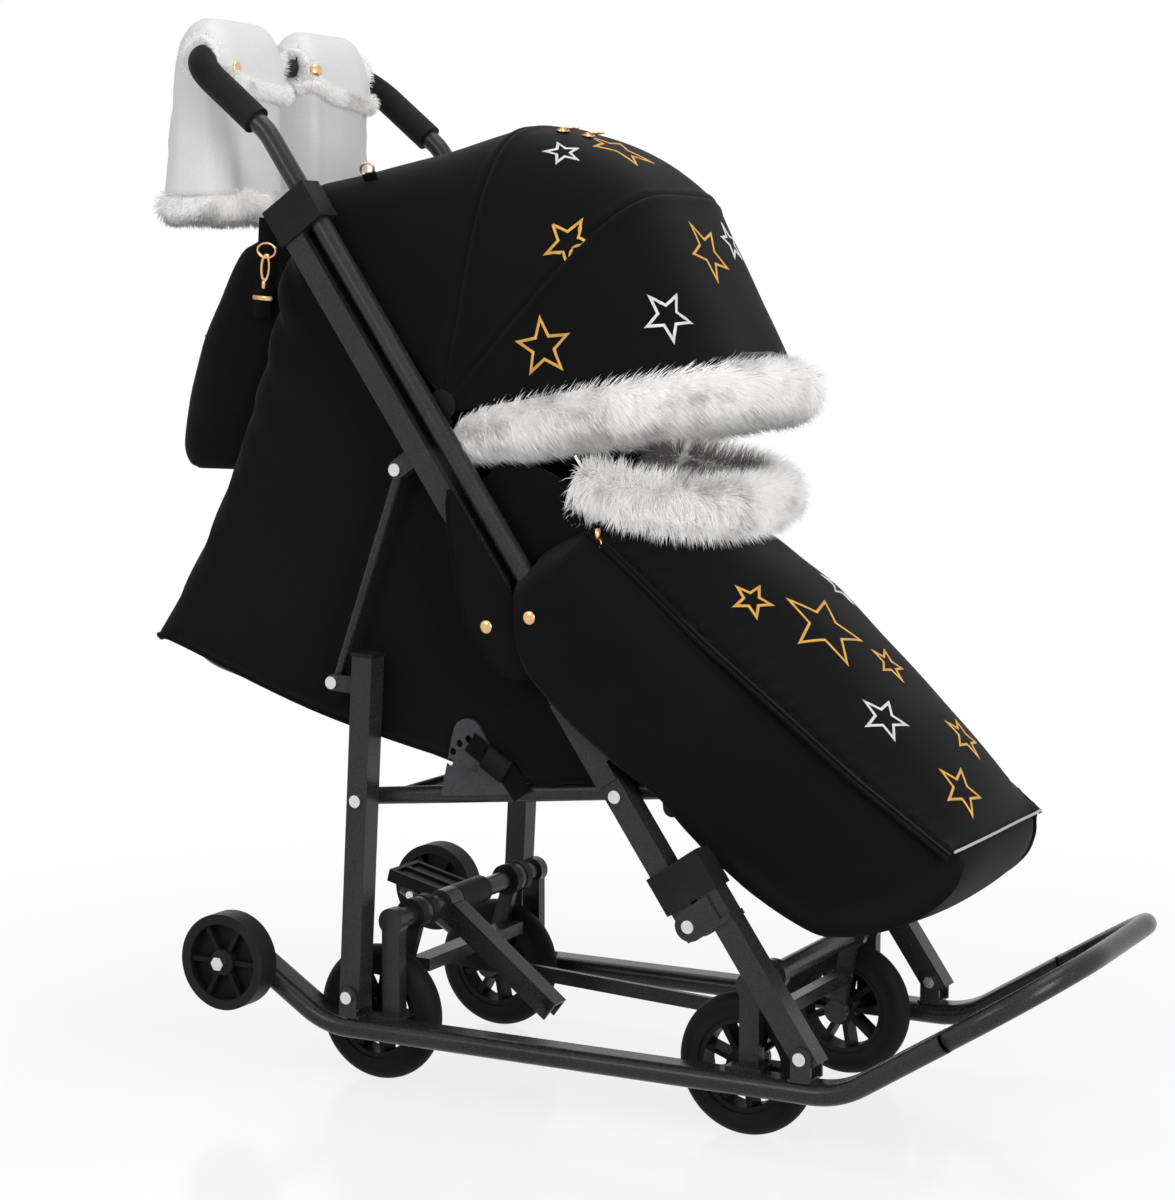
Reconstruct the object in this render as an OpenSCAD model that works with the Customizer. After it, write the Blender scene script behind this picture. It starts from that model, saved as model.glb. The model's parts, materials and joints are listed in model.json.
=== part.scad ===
// Sled stroller on runners, with a wheel lift, a folding frame, a reversible handle, a hood and a footmuff.
// Lengths are in millimetres. +X points forward, +Y to the left, +Z up.
// Places along the stroller are counted from the rear axle, and the whole is then centred on its box.

/* [Wheels] */
// Diameter of the road wheels
wheel_d = 150; // [140:1:156]
// Width of the road wheels
wheel_w = 31; // [26:0.5:32]
// Distance of the road wheels inside the centre planes of the side frames
wheel_inset = 47; // [46:0.5:50]
// Distance from rear axle to front axle
wheelbase = 443; // [430:1:456]
// Diameter of the axle pins
axle_d = 10; // [8:0.5:12]
// Diameter of the transport wheels behind
transport_d = 106; // [96:1:112]
// Width of the transport wheels
transport_w = 28; // [22:1:32]

/* [Runners] */
// Width of the flat-oval runner tube
runner_w = 42; // [38:1:44]
// Height of the flat-oval runner tube
runner_h = 22; // [20:1:24]
// Wall of the runner tube
runner_wall = 2; // [1.5:0.1:3]
// Height of the runners' top face above the floor
runner_top = 80; // [78:1:84]
// Sine of the angle at which the runner ends rise
rise_sine = 0.5376; // [0.28, 0.352, 0.5376, 0.6]
// Bend radius of the runner ends
runner_bend = 100; // [60:5:120]
// Sloping length of the front rise
front_run = 130; // [110:1:150]
// Sloping length of the rear rise up to the transport axle
rear_run = 130; // [120:1:140]
// Sloping length of the round front hoop
hoop_reach = 139; // [130:1:150]
// Bend radius of the hoop's corners
hoop_bend = 110; // [80:5:120]

/* [Folding frame] */
// Distance between the centre planes of the two side frames
frame_track = 354; // [350:1:364]
// Side of the square frame tube
tube = 25; // [23:0.5:26]
// Wall of the frame tube
tube_wall = 1.5; // [1:0.1:2.5]
// Lean of the upper tubes above the floor, in degrees
lean = 55.75; // [54:0.25:57]
// Distance of the front leg's foot bolt ahead of the front axle
foot_ahead = 86.02; // [80:0.01:92]
// Height of the front leg's foot bolt
foot_z = 105.24; // [103:0.01:108]
// Length of the upper tube above the knee pivot
upper_len = 842; // [830:1:855]
// Distance of the front leg's centre line ahead of the upper tube's
leg_offset = 34; // [33:0.5:37]
// Distance along the leg from the knee down to its foot bolt
leg_len = 169; // [166:1:172]
// Distance along the upper tube from the knee to the seat hinge
seat_hinge_s = 151; // [146:1:156]
// Place of the rear post's foot bolt behind the rear axle
post_back = 4.2; // [2:0.1:6]
// Height of the rear post's foot bolt
post_z = 103.5; // [103:0.5:108]
// Forward lean of the rear post, in degrees
post_lean = 3.07; // [2:0.01:4]
// Length of the rear post above its strut bolt
post_over = 32; // [24:1:40]
// Distance up the post to the seat bolt
post_seat = 216; // [212:1:220]
// Distance up the post to the strut bolt
post_strut = 340; // [335:1:345]
// Distance of the strut bolt behind the post's centre line
strut_out = 38.5; // [36:0.5:42]
// Distance along the upper tube to the strut's top bolt
strut_s = 568; // [560:1:576]
// Distance of the strut's top bolt behind the upper tube's centre line
strut_back = 34.5; // [32:0.5:38]
// Diameter of the struts
strut_d = 10; // [8:0.5:12]
// Diameter of the pivot bolts
bolt_d = 8; // [6:0.5:9]
// Diameter of the round cross bar between the upper tubes
cross_d = 16; // [12:1:18]

/* [Handle] */
// Diameter of the handle tube
handle_d = 22; // [20:0.5:23]
// Distance of the handle tube ahead of the upper tube's centre line
handle_offset = 31; // [30.5:0.5:34]
// Distance along the upper tube to the handle hinge
handle_hinge_s = 200; // [195:1:210]
// Distance from the end of the upper tube to the handle's bend
handle_rise = 113; // [103:1:123]
// Length of the handle from its bend to the crossbar
handle_top = 133; // [128:1:145]
// Diameter of the rubber grips
grip_d = 32; // [28:1:36]
// Height of the hanging hand muffs
muff_h = 215; // [200:1:225]
// Distance of the hand muffs' outer sides inside the centre planes of the side frames
muff_inset = 24; // [22:1:30]

/* [Seat] */
// Diameter of the seat frame's side tubes
seat_tube_d = 19; // [17:0.5:20]
// Distance of the seat's side tubes inside the centre planes of the side frames
seat_inset = 27; // [26.5:0.25:28]
// Place of the backrest hinge ahead of the seat bolt, along the seat tube
back_hinge_x = 136; // [130:1:142]
// Height of the backrest hinge above the seat tube's centre line
back_hinge_z = 28.5; // [28:0.5:34]
// Slope of the lying backrest, in degrees
back_tilt = 15.3; // [14:0.1:17]
// Length of the backrest frame
back_len = 400; // [380:1:402]
// Diameter of the backrest frame's tube
back_tube_d = 16; // [14:0.5:17]
// Thickness of the seat and backrest pads
pad_t = 28; // [20:1:34]
// Thickness of the seat, backrest and footrest boards
board_t = 6; // [4:0.5:8]
// Length of the footrest
footrest_len = 180; // [165:1:190]
// Downward slope of the footrest, in degrees
footrest_drop = 26; // [24:0.5:28]

/* [Hood and covers] */
// Distance along the upper tube to the hood hinge
hood_s = 600; // [594:1:608]
// Distance of the hood hinge ahead of the upper tube's centre line
hood_ahead = 40; // [38:0.5:44]
// Distance of the bows' legs inside the centre planes of the side frames
bow_inset = 29; // [28:0.5:33]
// Diameter of the hood bows
bow_d = 9; // [7:0.5:10]
// Reach of the rear bow from the hood hinge
rear_bow_reach = 292; // [284:1:300]
// Reach of the middle bow
middle_bow_reach = 293; // [286:1:300]
// Reach of the front bow
front_bow_reach = 292; // [284:1:300]
// Diameter of the fur roll on the hood's edge
fur_d = 68; // [60:1:74]
// Thickness of the cloth covers
cloth = 2.5; // [1.5:0.1:3]
// Distance of the tent's sides inside the centre planes of the side frames
tent_inset = 17.6; // [17.6:0.1:19]
// Thickness of the padded footmuff's walls
muff_wall = 9; // [6:0.5:11]
// Diameter of the fur roll over the footmuff's mouth
collar_d = 56; // [48:1:62]
// Distance of the footmuff's sides inside the centre planes of the side frames
footmuff_inset = 15; // [14:1:21]
// Height of the bag
bag_h = 261; // [245:1:270]
// Width of the bag across the stroller
bag_w = 212; // [196:1:220]

/* [Clearances] */
// Radial running clearance of pins and shafts
run_fit = 0.05; // [0.03:0.01:0.1]
// Clearance between pieces that slide or lie beside each other
gap = 0.3; // [0.2:0.05:0.5]

/* [Hidden] */
coat = "#3a3a3d";
plastic = "#19191a";
chrome = "#c8c9cb";
softshell = "#131315";
white_leather = "#f0eeec";
fur_white = "#e2dfdc";
round_fn = 40;
bolt_r = bolt_d / 2;
head_t = 4;
head_r = bolt_d * 0.85;
plate_t = 3;
axle_r = axle_d / 2;
wheel_r = wheel_d / 2;
frame_y = frame_track / 2;
half_track = frame_y - wheel_inset;
bow_half = frame_y - bow_inset;
tent_half = frame_y - tent_inset;
footmuff_half = frame_y - footmuff_inset;
half_tube = tube / 2;
tube_face = frame_y + half_tube;
tube_inner = frame_y - half_tube;
cheek_in = half_tube + gap;
cheek_out = cheek_in + plate_t;
// Runner path
rise_cosine = sqrt(1 - rise_sine * rise_sine);
rise = asin(rise_sine);
bend_cut = runner_bend * rise_sine / (1 + rise_cosine);
runner_z = runner_top - runner_h / 2;
rear_vertex = -35;
front_vertex = wheelbase + foot_ahead + 37.98;
runner_start = rear_vertex + bend_cut;
runner_flat = front_vertex - bend_cut - runner_start;
runner_outer = frame_y + runner_w / 2;
transport_x = rear_vertex - (rear_run - 6) * rise_cosine;
transport_z = runner_z + (rear_run - 6) * rise_sine;
transport_y = runner_outer + 9 + transport_w / 2;
hoop_x = front_vertex + front_run * rise_cosine;
hoop_z = runner_z + front_run * rise_sine;
// Frame points in the side plane, as x and z
along = [-cos(lean), sin(lean)];
ahead = [sin(lean), cos(lean)];
leg_foot = [wheelbase + foot_ahead, foot_z];
knee = leg_foot + leg_len * along - leg_offset * ahead;
function on_tube(s, n) = knee + s * along + n * ahead;
seat_hinge = on_tube(seat_hinge_s, 0);
post_foot = [-post_back, post_z];
post_len = post_strut + post_over;
post_up = [sin(post_lean), cos(post_lean)];
post_fore = [cos(post_lean), -sin(post_lean)];
seat_bolt = post_foot + post_seat * post_up;
strut_low = post_foot + post_strut * post_up - strut_out * post_fore;
strut_top = on_tube(strut_s, -strut_back);
seat_dir = seat_hinge - seat_bolt;
seat_tilt = atan2(seat_dir.y, seat_dir.x);
seat_y = frame_y - seat_inset;
seat_len = norm(seat_dir);
seat_up = [-sin(seat_tilt), cos(seat_tilt)];
seat_fore = [cos(seat_tilt), sin(seat_tilt)];
back_hinge = seat_bolt + back_hinge_x * seat_fore + back_hinge_z * seat_up;
back_y = seat_y - 3;
footrest_x = seat_len + 44;
footrest_hinge = seat_bolt + footrest_x * seat_fore - (seat_tube_d / 2 + 8.5) * seat_up;
footrest_y = seat_y - 28;
// Wheel lift
rear_shaft = [32, 184];
front_shaft = [wheelbase + 16, 163];
shaft_r = 11;
// Start of what is welded to a clamp round the shaft, inside its wall
clamp_in = shaft_r + 2;
// How far bosses stand proud of the flat bar between them
proud = 0.8;
upright_y = half_track + wheel_w / 2 + 10;
upright_w = 14;
arm_y = half_track - wheel_w / 2 - 10;
arm_t = 10;
crank_r = 88;
crank_turn = 240;
crank = crank_r * [cos(crank_turn), sin(crank_turn)];
link_y = 10;
link_t = 8;
lever_len = 165;
lever_turn = 37.5;
// Hood
hood_pivot = on_tube(hood_s, hood_ahead);
bow_r = bow_d / 2;
rear_bow_turn = 80;
middle_bow_turn = 47;
front_bow_turn = 10;
bow_bend = bow_half - 23;
bow_start = 44;
hood_pin_r = 3;
tab_t = 2.4;
canopy_gap = 0.6;
canopy_in = bow_r + canopy_gap;
canopy_half = bow_half + bow_r + 6.5;
// Handle top
bend_sine = 0.28;
bend_cosine = 0.96;
handle_bend = 70;
corner_bend = 45;
handle_r = handle_d / 2;
bend_back = handle_bend * bend_sine / (1 + bend_cosine);
handle_bend_s = upper_len + handle_rise;
bar_s = handle_bend_s + bend_cosine * handle_top;
bar_n = handle_offset - bend_sine * handle_top;
bar = on_tube(bar_s, bar_n);
// Covers
tent_top = on_tube(upper_len + 12, -13);
tent_back = tent_top + [-14, -4];
tent_rear = [-290, 476];
tent_low = [192, seat_bolt.y + 36];
tent_front = on_tube(seat_hinge_s + 20, -14);
tent_hollow = 112;
bag_top = 925;
bag_back = -293;
front_end = hoop_x + hoop_reach * rise_cosine + runner_h / 2;
origin_x = (front_end + min(bag_back, tent_rear.x)) / 2;

function unit(v) = v / norm(v);
function mix(a, b, t) = a + (b - a) * t;
function flat(rows) = [for (r = rows) each r];
function xyz(p, y) = [p.x, y, p.y];
// Triangles over a grid of points, row by row, turned the other way where flip is true
function grid(rows, cols, first, flip) = [for (i = [0 : rows - 2], j = [0 : cols - 2], k = [0, 1])
    let (a = first + i * cols + j, b = a + 1, c = a + cols, d = c + 1, t = k == 0 ? [a, b, d] : [a, d, c])
    flip ? [t[2], t[1], t[0]] : t];
// Triangles between two chains of points
function strip(p, q) = [for (i = [0 : len(p) - 2], k = [0, 1])
    k == 0 ? [p[i], p[i + 1], q[i + 1]] : [p[i], q[i + 1], q[i]]];
function span(first, step, count) = [for (i = [0 : count - 1]) first + i * step];

// Centres the object on its box
module place() { translate([-origin_x, 0, 0]) children(); }
// The near side as drawn, and its mirror image on the far side
module pair() {
    children();
    mirror([0, 1, 0]) children();
}
// A frame at a point of the side plane whose Z axis points at an angle above forward
module pointing(p, turn) { translate(xyz(p, 0)) rotate([0, 90 - turn, 0]) children(); }
// The frame along the upper tube: X ahead of it, Z up along it
module leaning() { translate(xyz(knee, 0)) rotate([0, lean - 90, 0]) children(); }
module on_post() { translate(xyz(post_foot, 0)) rotate([0, post_lean, 0]) children(); }
module on_seat() { translate(xyz(seat_bolt, 0)) rotate([0, -seat_tilt, 0]) children(); }
module on_back() { translate(xyz(back_hinge, 0)) rotate([0, back_tilt, 0]) children(); }

// Bar along Y at a point of the side plane
module y_bar(p, from, to, r, fn = round_fn) {
    translate([p.x, from, p.y]) rotate([-90, 0, 0]) cylinder(r = r, h = to - from, $fn = fn);
}
// Box with its corner values given on each axis
module block(x, y, z) { translate([x[0], y[0], z[0]]) cube([x[1] - x[0], y[1] - y[0], z[1] - z[0]]); }
// Bolt across the stroller on the near side: head outside, nut inside
module bolt(p, from, to, r = bolt_r) {
    y_bar(p, from, to, r);
    y_bar(p, from - head_t, from, head_r);
    y_bar(p, to, to + head_t, head_r, 6);
}
module stub(p, from, to, r = bolt_r) {
    y_bar(p, from, to, r);
    y_bar(p, from - head_t, from, head_r);
}

// Tube section, round or flat-oval, with a wall
module section() {
    difference() {
        oval($r, $flat);
        if ($wall < $r) oval($r - $wall, $flat);
    }
}
module oval(r, half) {
    circle(r, $fn = round_fn);
    if (half > 0) {
        translate([0, half]) circle(r, $fn = round_fn);
        translate([0, -half]) circle(r, $fn = round_fn);
        square([2 * r, 2 * half], center = true);
    }
}
// Straight length of tube along Z, with what follows at its end
module straight(length) {
    linear_extrude(length) section();
    translate([0, 0, length]) children();
}
// Bend of the tube towards X, with what follows at its end
module turn(bend, sine, cosine) {
    multmatrix([[-1, 0, 0, bend], [0, 0, 1, 0], [0, 1, 0, 0], [0, 0, 0, 1]])
        rotate_extrude(angle = atan2(sine, cosine), $fn = 96) translate([bend, 0]) section();
    multmatrix([[cosine, 0, sine, bend * (1 - cosine)], [0, 1, 0, 0],
        [-sine, 0, cosine, bend * sine], [0, 0, 0, 1]])
        children();
}
// U of tube whose legs run along Z from a start to a crossbar
module u_tube(half, start, reach, bend, r, wall) {
    pair() translate([0, -half, start]) rotate([0, 0, 90]) {
        $r = r;
        $wall = wall;
        $flat = 0;
        straight(reach - bend - start) turn(bend, 1, 0) straight(half - bend);
    }
}
module square_tube(from, to) {
    difference() {
        block([-half_tube, half_tube], [-half_tube, half_tube], [from, to]);
        block([tube_wall - half_tube, half_tube - tube_wall], [tube_wall - half_tube, half_tube - tube_wall],
            [from - 1, to + 1]);
    }
}

// Closed thin solid between an outer and an inner grid of points
module shell(outer, inner) {
    rows = len(outer);
    cols = len(outer[0]);
    n = rows * cols;
    top = span(0, 1, cols);
    end = span((rows - 1) * cols, 1, cols);
    left = span(0, cols, rows);
    right = span(cols - 1, cols, rows);
    function deeper(list) = [for (i = list) i + n];
    polyhedron(concat(flat(outer), flat(inner)), concat(
        grid(rows, cols, 0, false), grid(rows, cols, n, true),
        strip(deeper(top), top), strip(end, deeper(end)),
        strip(left, deeper(left)), strip(deeper(right), right)));
}
// Closed solid through rings of points, with flat ends
module loft(rings) {
    cols = len(rings[0]);
    wrapped = [for (r = rings) concat(r, [r[0]])];
    last = (len(rings) - 1) * (cols + 1);
    polyhedron(flat(wrapped), concat(grid(len(rings), cols + 1, 0, false),
        [[for (j = [cols - 1 : -1 : 0]) j]], [[for (j = [0 : cols - 1]) last + j]]));
}

// Runners
module runner(side) {
    color(coat) place() translate([0, side * frame_y, 0]) difference() {
        union() {
            $r = runner_h / 2;
            $wall = runner_wall;
            $flat = (runner_w - runner_h) / 2;
            translate([runner_start, 0, runner_z]) rotate([0, 90, 0]) rotate([0, 0, 180])
                straight(runner_flat) turn(runner_bend, rise_sine, rise_cosine)
                    straight(front_run - bend_cut);
            translate([runner_start, 0, runner_z]) rotate([0, -90, 0])
                turn(runner_bend, rise_sine, rise_cosine) straight(rear_run + 10 - bend_cut);
        }
        y_bar([transport_x, transport_z], -runner_w, runner_w, axle_r + run_fit);
    }
}
module runner_right() { runner(-1); }
module runner_left() { runner(1); }
module front_hoop() {
    color(coat) place() pointing([hoop_x, hoop_z], rise)
        u_tube(frame_y, 0, hoop_reach, hoop_bend, runner_h / 2, runner_wall);
}
// Uprights that carry the two wheel shafts, on feet that lie on the runners
module wheel_uprights() {
    color(coat) place() pair() for (shaft = [rear_shaft, front_shaft]) difference() {
        union() {
            block([shaft.x - shaft_r, shaft.x + shaft_r],
                [-upright_y - upright_w / 2, upright_w / 2 - upright_y], [runner_top, shaft.y]);
            block([shaft.x - 20, shaft.x + 20], [-frame_y, upright_w / 2 - upright_y],
                [runner_top, runner_top + plate_t]);
            y_bar(shaft, -upright_y - upright_w / 2, upright_w / 2 - upright_y, shaft_r + 4);
        }
        y_bar(shaft, -frame_y, 0, shaft_r + run_fit);
    }
}
// Brackets that hinge the posts and the legs on the runners
module frame_feet() {
    ear = 11;
    color(coat) place() pair() for (p = [post_foot, leg_foot]) difference() {
        union() {
            block([max(p.x - 14, runner_start), min(p.x + 14, runner_start + runner_flat)],
                [-frame_y - cheek_out, cheek_out - frame_y], [runner_top + gap, runner_top + gap + plate_t]);
            for (y = [-cheek_out, cheek_in]) {
                block([p.x - ear, p.x + ear], [y - frame_y, y + plate_t - frame_y],
                    [runner_top + gap + plate_t / 2, p.y]);
                y_bar(p, y - frame_y, y + plate_t - frame_y, ear);
            }
        }
        y_bar(p, -frame_y - tube, tube - frame_y, bolt_r + run_fit);
    }
}
module chassis_bolts() {
    color(chrome) place() pair() for (p = [post_foot, leg_foot])
        bolt(p, -frame_y - cheek_out, cheek_out - frame_y);
}
module transport_axles() {
    axle = [transport_x, transport_z];
    color(chrome) place() pair() {
        y_bar(axle, -transport_y - transport_w / 2 - 5, runner_w / 2 - frame_y + 3, axle_r);
        y_bar(axle, -transport_y - transport_w / 2 - 9, -transport_y - transport_w / 2 - gap,
            axle_d * 0.8, 6);
        difference() {
            y_bar(axle, transport_w / 2 + gap - transport_y, -runner_outer, axle_d * 0.9);
            y_bar(axle, -transport_y, 0, axle_r);
        }
    }
}

// Wheels
rim_r = wheel_r * 2 / 3;
module wheel_at(x, side) { place() translate([x, side * half_track, wheel_r]) rotate([90, 0, 0]) children(); }
module rim() {
    spokes = 9;
    hub_r = 17;
    color(plastic) difference() {
        union() {
            rotate_extrude($fn = 72) translate([rim_r - run_fit - 6, 2 - wheel_w / 2])
                square([6, wheel_w - 4]);
            cylinder(r = hub_r, h = wheel_w + 2, center = true, $fn = round_fn);
            for (i = [0 : spokes - 1]) rotate(i * 360 / spokes)
                translate([hub_r - 3, -3, 4 - wheel_w / 2]) cube([rim_r - hub_r - 1, 6, wheel_w - 8]);
        }
        cylinder(r = axle_r + run_fit, h = 2 * wheel_w, center = true, $fn = round_fn);
    }
}
module tyre() {
    crown = wheel_w / 2;
    color("#1d1d1e") rotate_extrude($fn = 96) difference() {
        union() {
            translate([wheel_r - crown, 0]) circle(crown, $fn = 48);
            translate([rim_r, -crown]) square([wheel_r - crown - rim_r, wheel_w]);
        }
        translate([rim_r - 2 * crown, -wheel_w]) square([2 * crown, 2 * wheel_w]);
    }
}
module rear_rim_right() { wheel_at(0, -1) rim(); }
module rear_rim_left() { wheel_at(0, 1) rim(); }
module front_rim_right() { wheel_at(wheelbase, -1) rim(); }
module front_rim_left() { wheel_at(wheelbase, 1) rim(); }
module rear_tyre_right() { wheel_at(0, -1) tyre(); }
module rear_tyre_left() { wheel_at(0, 1) tyre(); }
module front_tyre_right() { wheel_at(wheelbase, -1) tyre(); }
module front_tyre_left() { wheel_at(wheelbase, 1) tyre(); }
module transport_wheel(side) {
    r = transport_d / 2;
    rib = 5;
    color(plastic) place() translate([transport_x, side * transport_y, transport_z]) rotate([90, 0, 0])
    difference() {
        union() {
            rotate_extrude($fn = 72) translate([r - 11, -transport_w / 2]) square([11, transport_w]);
            rotate_extrude($fn = 72) translate([2, -rib / 2]) square([r - 6, rib]);
            cylinder(r = 14, h = transport_w, center = true, $fn = round_fn);
            for (i = [0 : 5]) rotate(i * 60) translate([12, -rib / 2, 3 - transport_w / 2])
                cube([r - 18, rib, transport_w - 6]);
        }
        cylinder(r = axle_r + run_fit, h = 2 * transport_w, center = true, $fn = round_fn);
    }
}
module transport_wheel_right() { transport_wheel(-1); }
module transport_wheel_left() { transport_wheel(1); }

// Wheel lift: each shaft turns in its uprights and carries two arms, a cross tube and a crank
module shaft(p) {
    color(coat) place() y_bar(p, -upright_y - upright_w / 2, upright_y + upright_w / 2, shaft_r);
}
module rear_shaft() { shaft(rear_shaft); }
module front_shaft() { shaft(front_shaft); }
module arms(shaft, hub, brace, deep) {
    d = hub - shaft;
    from = -arm_y - arm_t / 2;
    to = arm_t / 2 - arm_y;
    crank_from = 1;
    crank_to = link_y - link_t / 2 - gap;
    color(coat) place() difference() {
        union() {
            pair() {
                pointing(shaft, atan2(d.y, d.x)) block([-9, 9], [from + proud, to - proud], [0, norm(d)]);
                y_bar(shaft, from, to, shaft_r + 6);
                y_bar(hub, from, to, 13);
                y_bar(hub, -half_track - wheel_w / 2 - 2, -arm_y, axle_r);
            }
            translate(xyz(shaft + brace, 0)) cube([deep, 2 * arm_y, 14], center = true);
            hanger = crank - brace;
            pointing(shaft + brace, atan2(hanger.y, hanger.x))
                block([-6, 6], [crank_from + proud, crank_to - proud], [0, norm(hanger)]);
            y_bar(shaft + crank, crank_from, crank_to, 9);
            y_bar(shaft + crank, crank_from + proud, link_y + link_t / 2 + 3, bolt_r);
        }
        y_bar(shaft, -frame_y, frame_y, shaft_r + run_fit);
    }
}
module rear_arms() { arms(rear_shaft, [0, wheel_r], [2, -58], 24); }
module front_arms() { arms(front_shaft, [wheelbase, wheel_r], [-8.5, -47], 14); }
module shaft_collars() {
    color(plastic) place() pair() for (y = [-arm_y - arm_t / 2 - 12 - gap, arm_t / 2 - arm_y + gap])
    difference() {
        y_bar(rear_shaft, y, y + 12, shaft_r + 7);
        y_bar(rear_shaft, y - 1, y + 13, shaft_r + run_fit);
    }
}
// Foot pedal: a clamp on the shaft with a ribbed tread
module pedal() {
    half = 30;
    reach = 88;
    color(plastic) place() difference() {
        union() {
            y_bar(rear_shaft, -half - proud, half + proud, shaft_r + 5);
            pointing(rear_shaft, 166) {
                block([-3, 2], [-half, half], [clamp_in, reach]);
                for (y = [-half, -3, half - 6]) block([-9, 5], [y, y + 6], [clamp_in, reach - 6]);
                block([-9, 5], [-half, half], [reach - 6, reach]);
            }
        }
        y_bar(rear_shaft, -half - 2, half + 2, shaft_r + run_fit);
    }
}
// Pressed channel that locks the lift, with the bolt and spring wire at its end
module lever() {
    back = -58;
    front = -33;
    high = 12;
    end = rear_shaft + lever_len * [cos(-lever_turn), sin(-lever_turn)];
    color(coat) place() difference() {
        union() {
            y_bar(rear_shaft, back - proud, front + proud, shaft_r + 5);
            pointing(rear_shaft, -lever_turn) {
                for (y = [back, front - plate_t])
                    block([-high, high], [y, y + plate_t], [clamp_in, lever_len + 10]);
                block([-high, plate_t - high], [back, front], [clamp_in, lever_len + 10]);
            }
            y_bar(end, back - 9, front + 4, 5);
            y_bar(end, back - 9, back - 5, 7, 6);
        }
        y_bar(rear_shaft, back - 2, front + 2, shaft_r + run_fit);
    }
}
module link_rod() {
    from = rear_shaft + crank;
    to = front_shaft + crank;
    d = to - from;
    color(coat) place() difference() {
        union() {
            pointing(from, atan2(d.y, d.x))
                block([-8, 8], [link_y - link_t / 2 + proud, link_y + link_t / 2 - proud], [0, norm(d)]);
            for (p = [from, to]) y_bar(p, link_y - link_t / 2, link_y + link_t / 2, 9);
        }
        for (p = [from, to]) y_bar(p, 0, 2 * link_y, bolt_r + run_fit);
    }
}

// Rear posts with the strut brackets welded behind them
module rear_posts() {
    ear = strut_d / 2 + gap;
    color(coat) place() pair() on_post() translate([0, -frame_y, 0]) difference() {
        union() {
            square_tube(-12, post_len);
            for (y = [-ear - plate_t, ear]) {
                block([-strut_out, -half_tube], [y, y + plate_t], [post_strut - 9, post_strut + 9]);
                y_bar([-strut_out, post_strut], y, y + plate_t, 9);
            }
        }
        y_bar([0, 0], -tube, tube, bolt_r + run_fit);
        y_bar([0, post_seat], -tube, tube, bolt_r + run_fit);
        y_bar([-strut_out, post_strut], -tube, tube, bolt_r + run_fit);
    }
}
module post_caps() {
    color(plastic) place() pair() on_post() translate([0, -frame_y, 0]) {
        block([-half_tube - 1, half_tube + 1], [-half_tube - 1, half_tube + 1], [post_len, post_len + 4]);
        block([tube_wall + run_fit - half_tube, half_tube - tube_wall - run_fit],
            [tube_wall + run_fit - half_tube, half_tube - tube_wall - run_fit], [post_len - 14, post_len]);
    }
}
// Bolts of the two open pivots: the seat bolts end in the posts, the strut bolts in the bracket cheeks
module post_bolts() {
    ear = strut_d / 2 + gap;
    color(chrome) place() pair() on_post() translate([0, -frame_y, 0]) {
        stub([0, post_seat], -half_tube, half_tube);
        stub([-strut_out, post_strut], -ear - plate_t, -ear);
    }
}
// Front legs with knee cheeks that take the knee bolt
module front_legs() {
    color(coat) place() pair() leaning() translate([0, -frame_y, 0]) difference() {
        union() {
            translate([leg_offset, 0, 0]) square_tube(-leg_len - 14, 25.5);
            for (y = [-cheek_out, cheek_in]) {
                block([0, leg_offset], [y, y + plate_t], [-16, 17]);
                y_bar([0, 0], y, y + plate_t, 16);
                block([leg_offset - half_tube, leg_offset + half_tube],
                    [min(y, -half_tube), max(y + plate_t, half_tube)],
                    [-16, -10]);
            }
        }
        translate([leg_offset, 0, 0]) block([tube_wall - half_tube, half_tube - tube_wall],
            [tube_wall - half_tube, half_tube - tube_wall], [-leg_len - 15, 26]);
        y_bar([0, 0], -tube, tube, bolt_r + run_fit);
        y_bar([leg_offset, -leg_len], -tube, tube, bolt_r + run_fit);
    }
}
module knee_bolts() {
    color(chrome) place() pair() bolt(knee, -frame_y - cheek_out, cheek_out - frame_y);
}
// Upper tubes with the strut ears and the gussets of the handle hinge welded on
module upper_tubes() {
    ear = strut_d / 2 + gap;
    gusset_low = handle_hinge_s - 34;
    gusset_high = handle_hinge_s + 66;
    color(coat) place() pair() leaning() translate([0, -frame_y, 0]) difference() {
        union() {
            square_tube(-14, upper_len);
            for (y = [-half_tube - plate_t, half_tube]) {
                block([-half_tube, half_tube], [y, y + plate_t], [gusset_low, gusset_high]);
                block([half_tube, handle_offset], [y, y + plate_t],
                    [handle_hinge_s - 14, handle_hinge_s + 14]);
                y_bar([handle_offset, handle_hinge_s], y, y + plate_t, 14);
            }
            for (y = [-ear - plate_t, ear]) {
                block([-strut_back, -half_tube], [y, y + plate_t], [strut_s - 10, strut_s + 10]);
                y_bar([-strut_back, strut_s], y, y + plate_t, 10);
            }
        }
        y_bar([0, 0], -tube, tube, bolt_r + run_fit);
        y_bar([0, seat_hinge_s], -tube, tube, bolt_r + run_fit);
        y_bar([handle_offset, handle_hinge_s], -tube, tube, bolt_r + run_fit);
        y_bar([-strut_back, strut_s], -tube, tube, bolt_r + run_fit);
    }
}
module cross_bar() {
    color(coat) place() leaning() y_bar([0, upper_len - 20], -tube_inner, tube_inner, cross_d / 2);
}
module upper_bolts() {
    ear = strut_d / 2 + gap;
    color(chrome) place() pair() leaning() {
        stub([0, seat_hinge_s], -tube_face, 6 - seat_y);
        bolt([handle_offset, handle_hinge_s], -tube_face - plate_t, plate_t - tube_inner);
        bolt([-strut_back, strut_s], -frame_y - ear - plate_t, ear + plate_t - frame_y);
    }
}
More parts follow.
